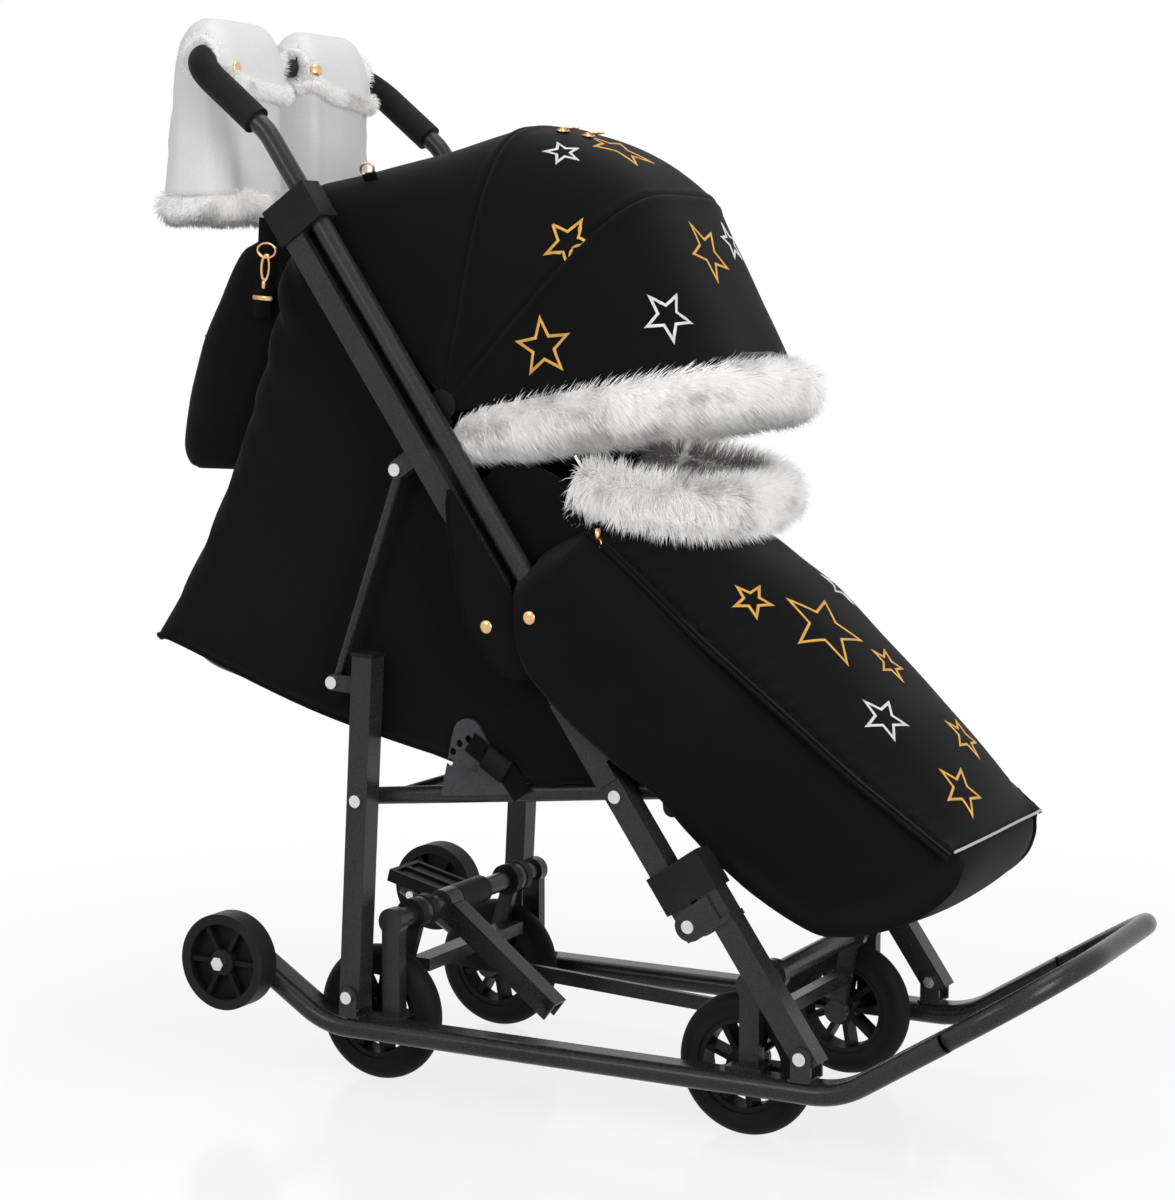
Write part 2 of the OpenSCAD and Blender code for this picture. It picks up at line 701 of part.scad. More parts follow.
module struts() {
    d = strut_top - strut_low;
    eye = 8;
    color(coat) place() pair() difference() {
        union() {
            translate([0, -frame_y, 0]) pointing(strut_low, atan2(d.y, d.x))
                cylinder(r = strut_d / 2, h = norm(d), $fn = round_fn);
            for (p = [strut_low, strut_top]) y_bar(p, -frame_y - strut_d / 2, strut_d / 2 - frame_y, eye);
        }
        for (p = [strut_low, strut_top]) y_bar(p, -frame_y - tube, tube - frame_y, bolt_r + run_fit);
    }
}
// Sleeves that lock the knees: each slides on the upper tube and holds the leg's top end
module lock_sleeves() {
    low = 19.5;
    high = 62.5;
    wall = 3.2;
    reach = half_tube + gap;
    color(plastic) place() pair() leaning() translate([0, -frame_y, 0]) difference() {
        block([-reach - wall, leg_offset + reach + wall], [-reach - wall, reach + wall], [low, high]);
        for (n = [0, leg_offset]) block([n - reach, n + reach], [-reach, reach], [low - 1, high + 1]);
    }
}

// Handle: two side tubes, bent back at the top, joined by a crossbar
module handle_half(r, wall, from, to_bar) {
    $r = r;
    $wall = wall;
    $flat = 0;
    translate([handle_offset, -frame_y, from]) rotate([0, 0, 180]) straight(handle_bend_s - bend_back - from)
        turn(handle_bend, bend_sine, bend_cosine) straight(handle_top - bend_back - corner_bend)
        rotate([0, 0, -90]) turn(corner_bend, 1, 0) straight(to_bar);
}
module handle_tube() {
    color(coat) place() leaning() difference() {
        pair() handle_half(handle_r, tube_wall, handle_hinge_s - 14, frame_y - corner_bend);
        pair() y_bar([handle_offset, handle_hinge_s], -frame_y - tube, tube - frame_y, bolt_r + run_fit);
    }
}
// Rubber grips over the corners of the handle
module grips() {
    run_up = 70;
    run_in = 26;
    color(plastic) place() leaning() pair() {
        $r = grip_d / 2;
        $wall = (grip_d - handle_d) / 2 - run_fit;
        $flat = 0;
        translate([handle_offset, -frame_y, handle_bend_s]) rotate([0, 0, 180])
            multmatrix([[bend_cosine, 0, bend_sine, 0], [0, 1, 0, 0],
                [-bend_sine, 0, bend_cosine, 0], [0, 0, 0, 1]])
            translate([0, 0, handle_top - corner_bend - run_up]) straight(run_up)
            rotate([0, 0, -90]) turn(corner_bend, 1, 0) straight(run_in);
    }
}
// Sleeves that lock the handle to the tops of the upper tubes
module handle_sleeves() {
    low = upper_len - 5;
    high = upper_len + 39;
    wall = 3.2;
    reach = half_tube + gap;
    color(plastic) place() pair() leaning() translate([0, -frame_y, 0]) difference() {
        block([-reach - wall, handle_offset + handle_r + gap + wall],
            [-reach - wall, reach + wall], [low, high]);
        block([-reach, reach], [-reach, reach], [low - 1, high + 1]);
        translate([handle_offset, 0, low - 1])
            cylinder(r = handle_r + run_fit, h = high - low + 2, $fn = round_fn);
    }
}
// Ring of a hand muff at a level below the bar, drawn in by a margin
function muff_ring(drop, deep, wide, margin) = [for (i = [0 : 19]) let (a = 18 * i,
    c = cos(a), s = sin(a), e = 0.55)
    [bar.x - 6 - drop * 0.06 + (deep - margin) * sign(c) * pow(abs(c), e),
     -muff_y + (wide - margin) * sign(s) * pow(abs(s), e), bar.y + 40 - drop]];
muff_apart = 24;
muff_w = frame_y - muff_inset - muff_apart;
muff_y = muff_apart + muff_w / 2;
muff_levels = [[0, 14, 0.86], [10, 28, 0.95], [28, 36, 1], [80, 36, 1], [140, 42, 0.97], [1, 47, 0.98]];
function muff_drop(level) = level[0] == 1 ? muff_h - 26 : level[0];
module hand_muffs() {
    wall = 5;
    corner = 4 + corner_bend - frame_y;
    color(white_leather) place() pair() difference() {
        loft([for (l = muff_levels) muff_ring(muff_drop(l), l[1], l[2] * muff_w / 2, 0)]);
        loft([for (l = [for (k = [1 : 5]) muff_levels[k]])
            muff_ring(muff_drop(l) + (l[0] == 1 ? 1 : 0), l[1], l[2] * muff_w / 2, wall)]);
        y_bar(bar, -frame_y / 2, 0, handle_r + gap);
        y_bar(bar, -frame_y, corner, grip_d / 2 + 10);
    }
}
// Fur cuffs round the mouths of the hand muffs
module muff_cuffs() {
    thick = 9;
    wall = 7;
    base = muff_h - 26;
    cuff = [[base + gap, 47, 1], [base + 6, 47 + thick * 0.7, 1.07], [base + 15, 47 + thick, 1.1],
        [base + 24, 47 + thick * 0.6, 1.06]];
    color(fur_white) place() pair() difference() {
        loft([for (l = cuff) muff_ring(l[0], l[1], l[2] * muff_w / 2, 0)]);
        loft([for (d = [base - 1, base + 26]) muff_ring(d, 47, muff_w / 2, wall)]);
    }
}

// Seat frame: two side tubes joined by two cross tubes and a front bracket for the footrest
module seat_frame() {
    r = seat_tube_d / 2;
    low = footrest_hinge_z;
    color(coat) place() on_seat() difference() {
        union() {
            pair() translate([-14, -seat_y, 0]) rotate([0, 90, 0])
                cylinder(r = r, h = footrest_x + 20, $fn = round_fn);
            for (x = [26, seat_len - 30]) y_bar([x, 0], -seat_y, seat_y, 7);
            pair() {
                block([footrest_x - 10, footrest_x + 10], [-seat_y - 3, 2 - seat_y], [low, 0]);
                y_bar([footrest_x, low], -seat_y - 3, 2 - seat_y, 10);
            }
        }
        pair() y_bar([seat_len, 0], -frame_y, 0, bolt_r + run_fit);
    }
    color(chrome) place() on_seat() pair() {
        y_bar([footrest_x, low], 2 - seat_y, 12 - footrest_y - 14, bolt_r);
        y_bar([footrest_x, low], -seat_y - 7, -seat_y - 3, head_r);
    }
}
footrest_hinge_z = -(seat_tube_d / 2 + 8.5);
// Plates beside the seat tubes with the backrest's hinge hole and its slot
module quadrants() {
    color("#5a5a5e") place() on_seat() pair() translate([back_hinge_x, -seat_y - seat_tube_d / 2 - gap, 0])
        rotate([90, 0, 0]) difference() {
            union() {
                linear_extrude(plate_t) polygon([[-46, 0], [44, 0], [12, 68], [-24, 68]]);
                translate([-6, 64, 0]) cylinder(r = 18, h = plate_t, $fn = round_fn);
            }
            translate([0, back_hinge_z, -1]) cylinder(r = bolt_r + run_fit, h = plate_t + 2, $fn = round_fn);
            for (a = [0 : 3]) translate([0, back_hinge_z, -1]) rotate(100 + 22 * a) translate([32, 0, 0])
                cylinder(r = 4, h = plate_t + 2, $fn = round_fn);
        }
}
board_low = 0.5;
module seat_board() {
    r = seat_tube_d / 2;
    color("#2c2c2e") place() on_seat()
        block([back_hinge_x + 16, seat_len + 16], [-seat_y, seat_y],
            [r + board_low, r + board_low + board_t]);
}
// Cushion with a crowned top and sides drawn in between its corners
function cushion_point(u, v, length, width, h, crown) = let (su = 1 - u * u * u * u, sv = 1 - v * v * v * v)
    [u * length / 2 * (1 - 0.03 * sv), v * width / 2 * (1 - 0.03 * su), h + crown * su * sv];
module cushion(length, width, thick) {
    steps = [-1, -0.8, -0.4, 0, 0.4, 0.8, 1];
    top = [for (u = steps) [for (v = steps) cushion_point(u, v, length, width, thick * 0.55, thick * 0.45)]];
    base = [for (u = steps) [for (v = steps) cushion_point(u, v, length, width, 0, 0)]];
    shell(top, base);
}
module seat_pad() {
    length = seat_len - back_hinge_x - 6;
    color("#232325") place() on_seat()
        translate([back_hinge_x + 16 + length / 2, 0, seat_tube_d / 2 + board_low + board_t + gap])
        cushion(length, 2 * seat_y - 28, pad_t);
}
back_bend = 60;
// Backrest: U frame hinged on the quadrants, with a board across it
module backrest_frame() {
    r = back_tube_d / 2;
    bite = 0.8;
    color(coat) place() on_back() difference() {
        union() {
            rotate([0, -90, 0]) u_tube(back_y, -12, back_len, back_bend, r, 1.5);
            block([-back_len + 20, -40], [r - bite - back_y, back_y + bite - r], [-board_t / 2, board_t / 2]);
        }
        pair() y_bar([0, 0], -frame_y, -seat_y / 2, bolt_r + run_fit);
    }
    color(chrome) place() on_back() pair() {
        y_bar([0, 0], r - back_y - 2, r - back_y, head_r);
        y_bar([0, 0], -seat_y - seat_tube_d / 2 - gap - plate_t + 0.2, r - back_y - 2, bolt_r);
    }
}
module backrest_pad() {
    r = back_tube_d / 2;
    start = 46;
    length = back_len - start - back_bend + 12;
    color("#232325") place() on_back() translate([-length / 2 - start, 0, board_t / 2 + gap])
        cushion(length, 2 * (back_y - r) - 6, pad_t);
}
// Footrest: two arms on the hinge bolts, with a board between them
module footrest() {
    y = footrest_y;
    color(coat) place() translate(xyz(footrest_hinge, 0)) rotate([0, footrest_drop, 0]) difference() {
        union() {
            pair() {
                y_bar([0, 0], -y - 7, 7 - y, 9);
                block([0, footrest_len], [-y - 7, 7 - y], [-7, 7]);
            }
            block([50, footrest_len], [-y, y], [-board_t / 2, board_t / 2]);
        }
        pair() y_bar([0, 0], -y - 8, 8 - y, bolt_r + run_fit);
    }
}

// Hood
module hood_hinges() {
    color(plastic) place() pair() {
        leaning() translate([0, -tube_inner, 0]) {
            block([-half_tube, hood_ahead], [0, plate_t], [hood_s - 22, hood_s + 10]);
            y_bar([hood_ahead, hood_s], 0, plate_t, 16);
        }
        y_bar(hood_pivot, -tube_inner, tab_t + gap - bow_half - bow_r, hood_pin_r);
    }
}
// Bow of the hood: a U of rod whose tabs turn on the hinge pins
module bow(turn_up, reach, layer) {
    outer = tab_first - layer * tab_step;
    start = bow_start + (2 - layer) * 12;
    color("#77787a") place() difference() {
        union() {
            pointing(hood_pivot, turn_up) {
                u_tube(bow_half, start, reach, bow_bend, bow_r, bow_r);
                pair() block([-bow_r, bow_r], [-outer, bow_r - bow_half], [start - 8, start]);
                pair() block([-6, 6], [gap - outer, tab_t - gap - outer], [0, start]);
            }
            pair() y_bar(hood_pivot, -outer, tab_t - outer, 7);
        }
        pair() y_bar(hood_pivot, -frame_y, -bow_half / 2, hood_pin_r + run_fit);
    }
}
tab_step = tab_t + gap;
tab_first = tube_inner - plate_t - gap;
module rear_bow() { bow(rear_bow_turn, rear_bow_reach, 0); }
module middle_bow() { bow(middle_bow_turn, middle_bow_reach, 1); }
module front_bow() { bow(front_bow_turn, front_bow_reach, 2); }
// Canopy: a sheet over the bows whose arch is flat on top and round at its corners
arch = [3.8, 8, 14, 21, 29, 38, 48, 60, 74, 85, 95, 106, 120, 132, 142, 151, 159, 166, 172, 176.2];
function arch_y(a, half) = -half * sign(cos(a)) * sqrt(abs(cos(a)));
function arch_up(a) = sqrt(sin(a));
function canopy_row(foot, crown, out, half) = let (d = unit(crown))
    [for (a = arch) xyz(foot + (crown + (canopy_in + out) * d) * arch_up(a), arch_y(a, half + out))];
// Its first row may be drawn in at the sides
module canopy(feet, crowns, drawn = 0) {
    last = len(feet) - 1;
    halves = [for (i = [0 : last]) canopy_half - drawn * (1 - i / last)];
    shell([for (i = [0 : last]) canopy_row(feet[i], crowns[i], cloth, halves[i])],
        [for (i = [0 : last]) canopy_row(feet[i], crowns[i], 0, halves[i])]);
}
function polar(reach, turn_up) = reach * [cos(turn_up), sin(turn_up)];
module canopy_panel(crowns) {
    color(softshell) place() canopy([for (c = crowns) hood_pivot], crowns);
}
seam = 0.25;
module hood_front() {
    from = polar(middle_bow_reach, middle_bow_turn - seam);
    to = polar(front_bow_reach + 1.6, front_bow_turn - 0.6);
    canopy_panel([for (t = [0 : 0.2 : 1]) mix(from, to, t)]);
}
module hood_middle() {
    canopy_panel([for (t = [0 : 0.2 : 1]) polar(mix(rear_bow_reach, middle_bow_reach, t),
        mix(rear_bow_turn - seam, middle_bow_turn + seam, t))]);
}
// Rear part of the hood, from the rear bow back to the tops of the upper tubes
module hood_rear() {
    first = polar(rear_bow_reach, rear_bow_turn + seam);
    back_foot = on_tube(upper_len + 10, 4);
    last = [4, 44];
    color(softshell) place() canopy([for (t = [1 : -0.2 : 0]) mix(hood_pivot, back_foot, t)],
        [for (t = [1 : -0.2 : 0]) mix(first, last, t)], 2);
}
// Fur roll under the front bow
module hood_fur() {
    hang = fur_d / 2 + bow_r + gap;
    color(fur_white) place() pointing(hood_pivot, front_bow_turn) translate([hang, 0, 0])
        u_tube(bow_half, 48, front_bow_reach + 14, bow_bend, fur_d / 2, fur_d / 2);
}

// Rear tent: sides that fan out below the tube tops, joined by a rounded back
function tent_row(t, inset) = let (w = tent_half - inset,
    f = mix(tent_top, tent_front, t), m = mix(tent_top, tent_low, t),
    r = mix(tent_back, tent_rear, t) + [inset + tent_hollow * t * (1 - t), 0], c = 8 + 30 * t,
    side = [[f, w], [mix(f, m, 0.5), w], [m, w], [mix(m, r, 0.5) - [0, 9 * t], w],
        [r + [c, 0], w], [r + [c * 0.3, 0], w - c * 0.3],
        [r, w - c], [r, w * 0.4]])
    concat([for (p = side) xyz(p[0], -p[1])], [xyz(r, 0)],
        [for (i = [7 : -1 : 0]) xyz(side[i][0], side[i][1])]);
module rear_tent() {
    steps = [0.04, 0.2, 0.36, 0.52, 0.68, 0.84, 1];
    color(softshell) place() shell([for (t = steps) tent_row(t, cloth)], [for (t = steps) tent_row(t, 0)]);
}
// Flaps that wrap over the outside of the upper tubes
module side_flaps() {
    color(softshell) place() pair() leaning() translate([0, -tube_face - gap, 0]) rotate([90, 0, 0])
        linear_extrude(cloth) union() {
            polygon([[13, 300], [13, 512], [-20, 462], [-46, 400], [-48, 350]]);
            translate([-14, 338]) circle(36, $fn = round_fn);
            polygon([[13, 300], [13, 330], [-14, 330], [-8, 302.5]]);
        }
}
// Footmuff: padded shell from its mouth down to the toe, each station from the knee as
// underside, crown and half width
foot_plan = [[[12.2, 64.2], [-83.8, 414.2], 1], [[30.2, 20.2], [2.2, 364.2], 0.99],
    [[64.2, -3.8], [60.2, 324.2], 0.97], [[102.2, -21.8], [147.2, 235.2], 0.94],
    [[150.2, -22.8], [204.2, 176.2], 0.9], [[194.2, -3.8], [242.2, 126.2], 0.85],
    [[234.2, 32.2], [258.2, 96.2], 0.8]];
foot_stations = [for (s = foot_plan) [knee + s[0], knee + s[1], s[2]]];
foot_ring = [[0, 0], [0.5, 0], [0.66, 0.02], [0.78, 0.08], [0.93, 0.13], [1, 0.3], [1, 0.55], [0.97, 0.75],
    [0.75, 0.9], [0.4, 0.98], [0, 1]];
function foot_row(s, inset) = let (low = s[0], rise_to = s[1] - s[0], w = s[2] * footmuff_half - inset,
    shift = inset / norm(rise_to), side = [for (p = foot_ring) [p[0] * w, mix(shift, 1 - shift, p[1])]])
    concat([for (p = side) xyz(low + rise_to * p[1], -p[0])],
        [for (i = [9 : -1 : 1]) xyz(low + rise_to * side[i][1], side[i][0])]);
module footmuff() {
    back = [-muff_wall, 0];
    color(softshell) place() {
        difference() {
            loft([for (s = foot_stations) foot_row(s, 0)]);
            loft([for (s = foot_stations) foot_row([s[0] + back, s[1] + back, s[2]], muff_wall)]);
        }
        pair() shell([for (i = [0 : 5]) wing_row(i, 0)], [for (i = [0 : 5]) wing_row(i, 3)]);
    }
}
// Wings of the footmuff, which pass outside the tubes and meet its sides further forward
wing_plan = [[-52.8, 135.2], [-144.8, 205.2], [-191.8, 259.2], [-199.8, 321.2], [-183.8, 362.2],
    [-113.8, 396.2]];
wing_rear = [for (p = wing_plan) knee + p];
wing_share = [0.3, 0.4, 0.48, 0.55, 0.65, 0.73];
wing_out = tube_face + plate_t + head_t + gap;
wing_station = foot_stations[2];
function wing_front(i) = mix(wing_station[0], wing_station[1], wing_share[i]);
function wing_draw(h) = h > 0.55 ? 1 - 0.15 * (h - 0.55) : 1;
function wing_in(i) = wing_station[2] * footmuff_half * wing_draw(wing_share[i]) + gap;
function wing_row(i, grow) = [for (t = [0, 0.3, 0.6, 0.75, 0.88, 1]) let (
    in_turn = t < 0.6 ? 0 : (t - 0.6) / 0.4, ease = in_turn * in_turn * (3 - 2 * in_turn))
    xyz(mix(wing_rear[i], wing_front(i), t), -mix(wing_out, wing_in(i), ease) - grow)];
// Fur roll turned out over the footmuff's mouth
module footmuff_collar() {
    color(fur_white) place() pointing(knee + [-155.8, 435.4], -10)
        u_tube(footmuff_half - collar_d / 2, 0, 134, 90, collar_d / 2, collar_d / 2);
}
// Bag that hangs behind the tent
// Each level of it: depth below the top as a share, rear face ahead of the rearmost line,
// front face behind the tent, width as a share
bag_levels = [[0, 103, 16, 0.9], [0.08, 81, 12, 0.96], [0.4, 36, 1.1, 1], [0.7, 8, 1.1, 1],
    [0.86, 0, 1.1, 0.99], [0.95, 18, 6, 0.95], [1, 46, 22, 0.88]];
function tent_share(z) = max(0.04, (tent_back.y - z) / (tent_back.y - tent_rear.y));
function tent_back_x(z) = let (t = tent_share(z))
    mix(tent_back.x, tent_rear.x, t) + tent_hollow * t * (1 - t);
function bag_ring(l) = let (z = bag_top - l[0] * bag_h, rear = bag_back + l[1],
    deep = (tent_back_x(z) - l[2] - rear) / 2)
    [for (i = [0 : 19]) let (a = 18 * i, c = cos(a), s = sin(a), e = 0.55)
    [rear + deep + deep * sign(c) * pow(abs(c), e), l[3] * bag_w / 2 * sign(s) * pow(abs(s), e), z]];
module bag() {
    color(softshell) place() loft([for (l = bag_levels) bag_ring(l)]);
}

runner_right();
runner_left();
front_hoop();
wheel_uprights();
frame_feet();
chassis_bolts();
transport_axles();
rear_rim_right();
rear_rim_left();
front_rim_right();
front_rim_left();
rear_tyre_right();
rear_tyre_left();
front_tyre_right();
front_tyre_left();
transport_wheel_right();
transport_wheel_left();
rear_shaft();
rear_arms();
shaft_collars();
pedal();
lever();
front_shaft();
front_arms();
link_rod();
rear_posts();
post_caps();
post_bolts();
front_legs();
knee_bolts();
upper_tubes();
cross_bar();
upper_bolts();
struts();
lock_sleeves();
handle_tube();
grips();
handle_sleeves();
hand_muffs();
muff_cuffs();
seat_frame();
quadrants();
seat_board();
seat_pad();
backrest_frame();
backrest_pad();
footrest();
hood_hinges();
rear_bow();
middle_bow();
front_bow();
hood_rear();
hood_middle();
hood_front();
hood_fur();
rear_tent();
side_flaps();
footmuff();
footmuff_collar();
bag();
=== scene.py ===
import json
import math

import bpy
import numpy as np
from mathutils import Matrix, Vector
from mathutils.bvhtree import BVHTree


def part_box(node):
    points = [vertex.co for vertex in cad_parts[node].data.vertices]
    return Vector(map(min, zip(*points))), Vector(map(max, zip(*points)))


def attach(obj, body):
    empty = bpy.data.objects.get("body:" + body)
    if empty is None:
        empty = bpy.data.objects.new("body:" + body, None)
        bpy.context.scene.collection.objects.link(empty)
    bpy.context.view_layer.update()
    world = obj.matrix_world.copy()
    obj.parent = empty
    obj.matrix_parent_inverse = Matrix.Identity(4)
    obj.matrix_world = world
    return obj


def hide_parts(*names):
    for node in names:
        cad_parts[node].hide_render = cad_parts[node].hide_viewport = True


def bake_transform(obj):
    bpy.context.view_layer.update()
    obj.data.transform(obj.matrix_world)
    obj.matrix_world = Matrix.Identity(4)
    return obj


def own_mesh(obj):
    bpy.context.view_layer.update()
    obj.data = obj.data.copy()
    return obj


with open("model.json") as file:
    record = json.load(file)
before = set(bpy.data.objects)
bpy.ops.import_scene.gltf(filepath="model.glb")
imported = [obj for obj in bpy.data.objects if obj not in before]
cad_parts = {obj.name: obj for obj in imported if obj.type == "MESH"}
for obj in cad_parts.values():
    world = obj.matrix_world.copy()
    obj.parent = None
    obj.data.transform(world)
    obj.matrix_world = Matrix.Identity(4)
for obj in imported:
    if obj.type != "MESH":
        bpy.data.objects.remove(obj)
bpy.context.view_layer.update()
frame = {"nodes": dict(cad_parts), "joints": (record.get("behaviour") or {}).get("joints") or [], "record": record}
nodes = frame["nodes"]
scene = bpy.context.scene
axleLow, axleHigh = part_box("rear_rim_right")
rearAxle = (axleLow + axleHigh) / 2  # places below are millimetres ahead of the rear axle
jointAt = {j["name"]: Vector(j["pos_m"]) for j in frame["joints"] if "pos_m" in j}
print("frame loaded:", len(nodes), "nodes")

# Stage: camera and lights
view = {"photo": (1175, 1200), "place": (1598.3, -2643.4, 848.8), "down": 6.125, "turn": 28.095,
        "lens": 82.64}
sensor = 36


def toFrame(points):
    p = np.asarray(points, float) / 1000
    return p + np.array((rearAxle.x, 0, 0))


def toMillimetres(point):
    return np.array(((point.x - rearAxle.x) * 1000, point.y * 1000, point.z * 1000))


def makeCamera():
    data = bpy.data.cameras.new("camera")
    data.lens = view["lens"]
    data.sensor_width = sensor
    camera = bpy.data.objects.new("camera", data)
    camera.location = toFrame(view["place"])
    camera.rotation_euler = (math.radians(90 - view["down"]), 0, math.radians(view["turn"]))
    scene.collection.objects.link(camera)
    scene.camera = camera
    bpy.context.view_layer.update()
    return camera


def makeLamp(name, place, aim, size, power):
    data = bpy.data.lights.new(name, "AREA")
    data.shape = "RECTANGLE"
    data.size, data.size_y = size
    data.energy = power
    lamp = bpy.data.objects.new(name, data)
    lamp.location = place
    lamp.rotation_euler = (Vector(aim) - Vector(place)).to_track_quat("-Z", "Y").to_euler()
    scene.collection.objects.link(lamp)


camera = makeCamera()
lamps = {
    "keyLamp": ((-1.2, -3.0, 2.4), (0, 0, 0.55), (1.3, 1.1), 30),
    "frontLamp": ((2.8, -1.6, 1.5), (0.1, 0, 0.55), (0.9, 1.8), 62),
    "topLamp": ((0.3, 0.2, 3.3), (0, 0, 0.6), (2.2, 1.2), 24),
    "backLamp": ((-2.3, 1.9, 1.9), (-0.1, 0, 0.7), (1.0, 1.6), 12),
}
for lampName, (lampPlace, lampAim, lampSize, lampPower) in lamps.items():
    makeLamp(lampName, lampPlace, lampAim, lampSize, lampPower)
scene.view_settings.view_transform = "Standard"


# Shader helpers: a value that is a socket is linked, any other is set on the input
def feed(tree, socket, value):
    if isinstance(value, bpy.types.NodeSocket):
        tree.links.new(value, socket)
    elif value is not None:
        socket.default_value = (*value, 1) if isinstance(value, tuple) else value


def addNode(tree, kind, settings=None, **inputs):
    node = tree.nodes.new("ShaderNode" + kind)
    for key, value in (settings or {}).items():
        setattr(node, key, value)
    for key, value in inputs.items():
        feed(tree, node.inputs[key.replace("_", " ")], value)
    return node


def mathNode(tree, operation, *values, clamp=False):
    node = addNode(tree, "Math", {"operation": operation, "use_clamp": clamp})
    for socket, value in zip(node.inputs, values):
        feed(tree, socket, value)
    return node.outputs[0]


def mixColour(tree, share, first, second):
    node = addNode(tree, "Mix", {"data_type": "RGBA"})
    for index, value in ((0, share), (6, first), (7, second)):
        feed(tree, node.inputs[index], value)
    return node.outputs[2]


def mixShader(tree, share, first, second, output):
    node = addNode(tree, "MixShader")
    for socket, value in zip(node.inputs, (share, first.outputs[0], second.outputs[0])):
        feed(tree, socket, value)
    feed(tree, tree.nodes[output].inputs["Surface"], node.outputs[0])


def ramp(tree, source, low, high):
    return addNode(tree, "MapRange", Value=source, From_Min=low, From_Max=high).outputs["Result"]


def spread(tree, source, low, high):
    return addNode(tree, "MapRange", Value=source, To_Min=low, To_Max=high).outputs["Result"]


def newGroup(name, inputs, outputs):
    group = bpy.data.node_groups.new(name, "ShaderNodeTree")
    for label, value in inputs.items():
        group.interface.new_socket(label, in_out="INPUT", socket_type="NodeSocketFloat").default_value = value
    for label in outputs:
        group.interface.new_socket(label, in_out="OUTPUT", socket_type="NodeSocketFloat")
    return group, group.nodes.new("NodeGroupInput"), group.nodes.new("NodeGroupOutput")


# Threads of a woven cloth, over and under, counted per metre along the cloth
def makeWeave():
    group, start, end = newGroup("threadWeave", {"Threads": 1500.0, "Fuzz": 0.35}, ["Height", "Shade"])
    place = addNode(group, "UVMap", {"uv_map": "cut"})
    scaled = addNode(group, "VectorMath", {"operation": "SCALE"}, Scale=start.outputs["Threads"])
    feed(group, scaled.inputs[0], place.outputs[0])
    apart = addNode(group, "SeparateXYZ", Vector=scaled.outputs[0])
    over = addNode(group, "TexChecker", Vector=scaled.outputs[0], Scale=1.0)
    threads = addNode(group, "Mix")
    feed(group, threads.inputs[0], over.outputs["Fac"])
    for way, socket in zip(apart.outputs, threads.inputs[2:4]):
        wave = mathNode(group, "SINE", mathNode(group, "MULTIPLY", way, math.pi))
        feed(group, socket, mathNode(group, "ABSOLUTE", wave))
    fuzz = addNode(group, "TexNoise", Vector=scaled.outputs[0], Scale=1.7, Detail=2.0).outputs["Fac"]
    fuzzPart = mathNode(group, "MULTIPLY", fuzz, start.outputs["Fuzz"])
    feed(group, end.inputs["Height"], mathNode(group, "ADD", threads.outputs[0], fuzzPart))
    feed(group, end.inputs["Shade"], mathNode(group, "MULTIPLY", threads.outputs[0], fuzz))
    return group


# Cloudy unevenness of a finish, from broad patches to fine grain
def makeGrain():
    group, start, end = newGroup("finishGrain", {"Patch": 6.0, "Grain": 900.0}, ["Cloud", "Height", "Cell"])
    place = addNode(group, "TexCoord").outputs["Object"]
    patch, grain = start.outputs["Patch"], start.outputs["Grain"]
    cloud = addNode(group, "TexNoise", Vector=place, Scale=patch, Detail=4.0, Roughness=0.55)
    fine = addNode(group, "TexNoise", Vector=place, Scale=grain, Detail=2.0)
    cell = addNode(group, "TexVoronoi", Vector=place, Scale=grain)
    feed(group, end.inputs["Cloud"], cloud.outputs["Fac"])
    feed(group, end.inputs["Height"], fine.outputs["Fac"])
    feed(group, end.inputs["Cell"], cell.outputs["Distance"])
    return group


# Rubbed edges and metal flakes of a coat of paint
def makeRub():
    group, start, end = newGroup("edgeRub", {"Low": 0.515, "High": 0.56, "Flakes": 2600.0}, ["Edge", "Flake"])
    pointed = addNode(group, "NewGeometry").outputs["Pointiness"]
    place = addNode(group, "TexCoord").outputs["Object"]
    edge = ramp(group, pointed, start.outputs["Low"], start.outputs["High"])
    patch = addNode(group, "TexNoise", Vector=place, Scale=40.0, Detail=3.0)
    feed(group, end.inputs["Edge"], mathNode(group, "MULTIPLY", edge, patch.outputs["Fac"]))
    flake = addNode(group, "TexVoronoi", Vector=place, Scale=start.outputs["Flakes"])
    apart = addNode(group, "SeparateColor", Color=flake.outputs["Color"])
    feed(group, end.inputs["Flake"], ramp(group, apart.outputs[0], 0.62, 0.95))
    return group


weaveGroup, grainGroup, rubGroup = makeWeave(), makeGrain(), makeRub()


def useGroup(tree, group, **values):
    node = tree.nodes.new("ShaderNodeGroup")
    node.node_tree = group
    for key, value in values.items():
        node.inputs[key].default_value = value
    return node


def newMaterial(name, **values):
    material = bpy.data.materials.new(name)
    material.use_nodes = True
    tree = material.node_tree
    shader = tree.nodes["Principled BSDF"]
    for key, value in values.items():
        feed(tree, shader.inputs[key.replace("_", " ")], value)
    return material, tree, shader


def addBump(tree, shader, height, strength, distance):
    bump = addNode(tree, "Bump", Strength=strength, Distance=distance, Height=height)
    feed(tree, shader.inputs["Normal"], bump.outputs[0])


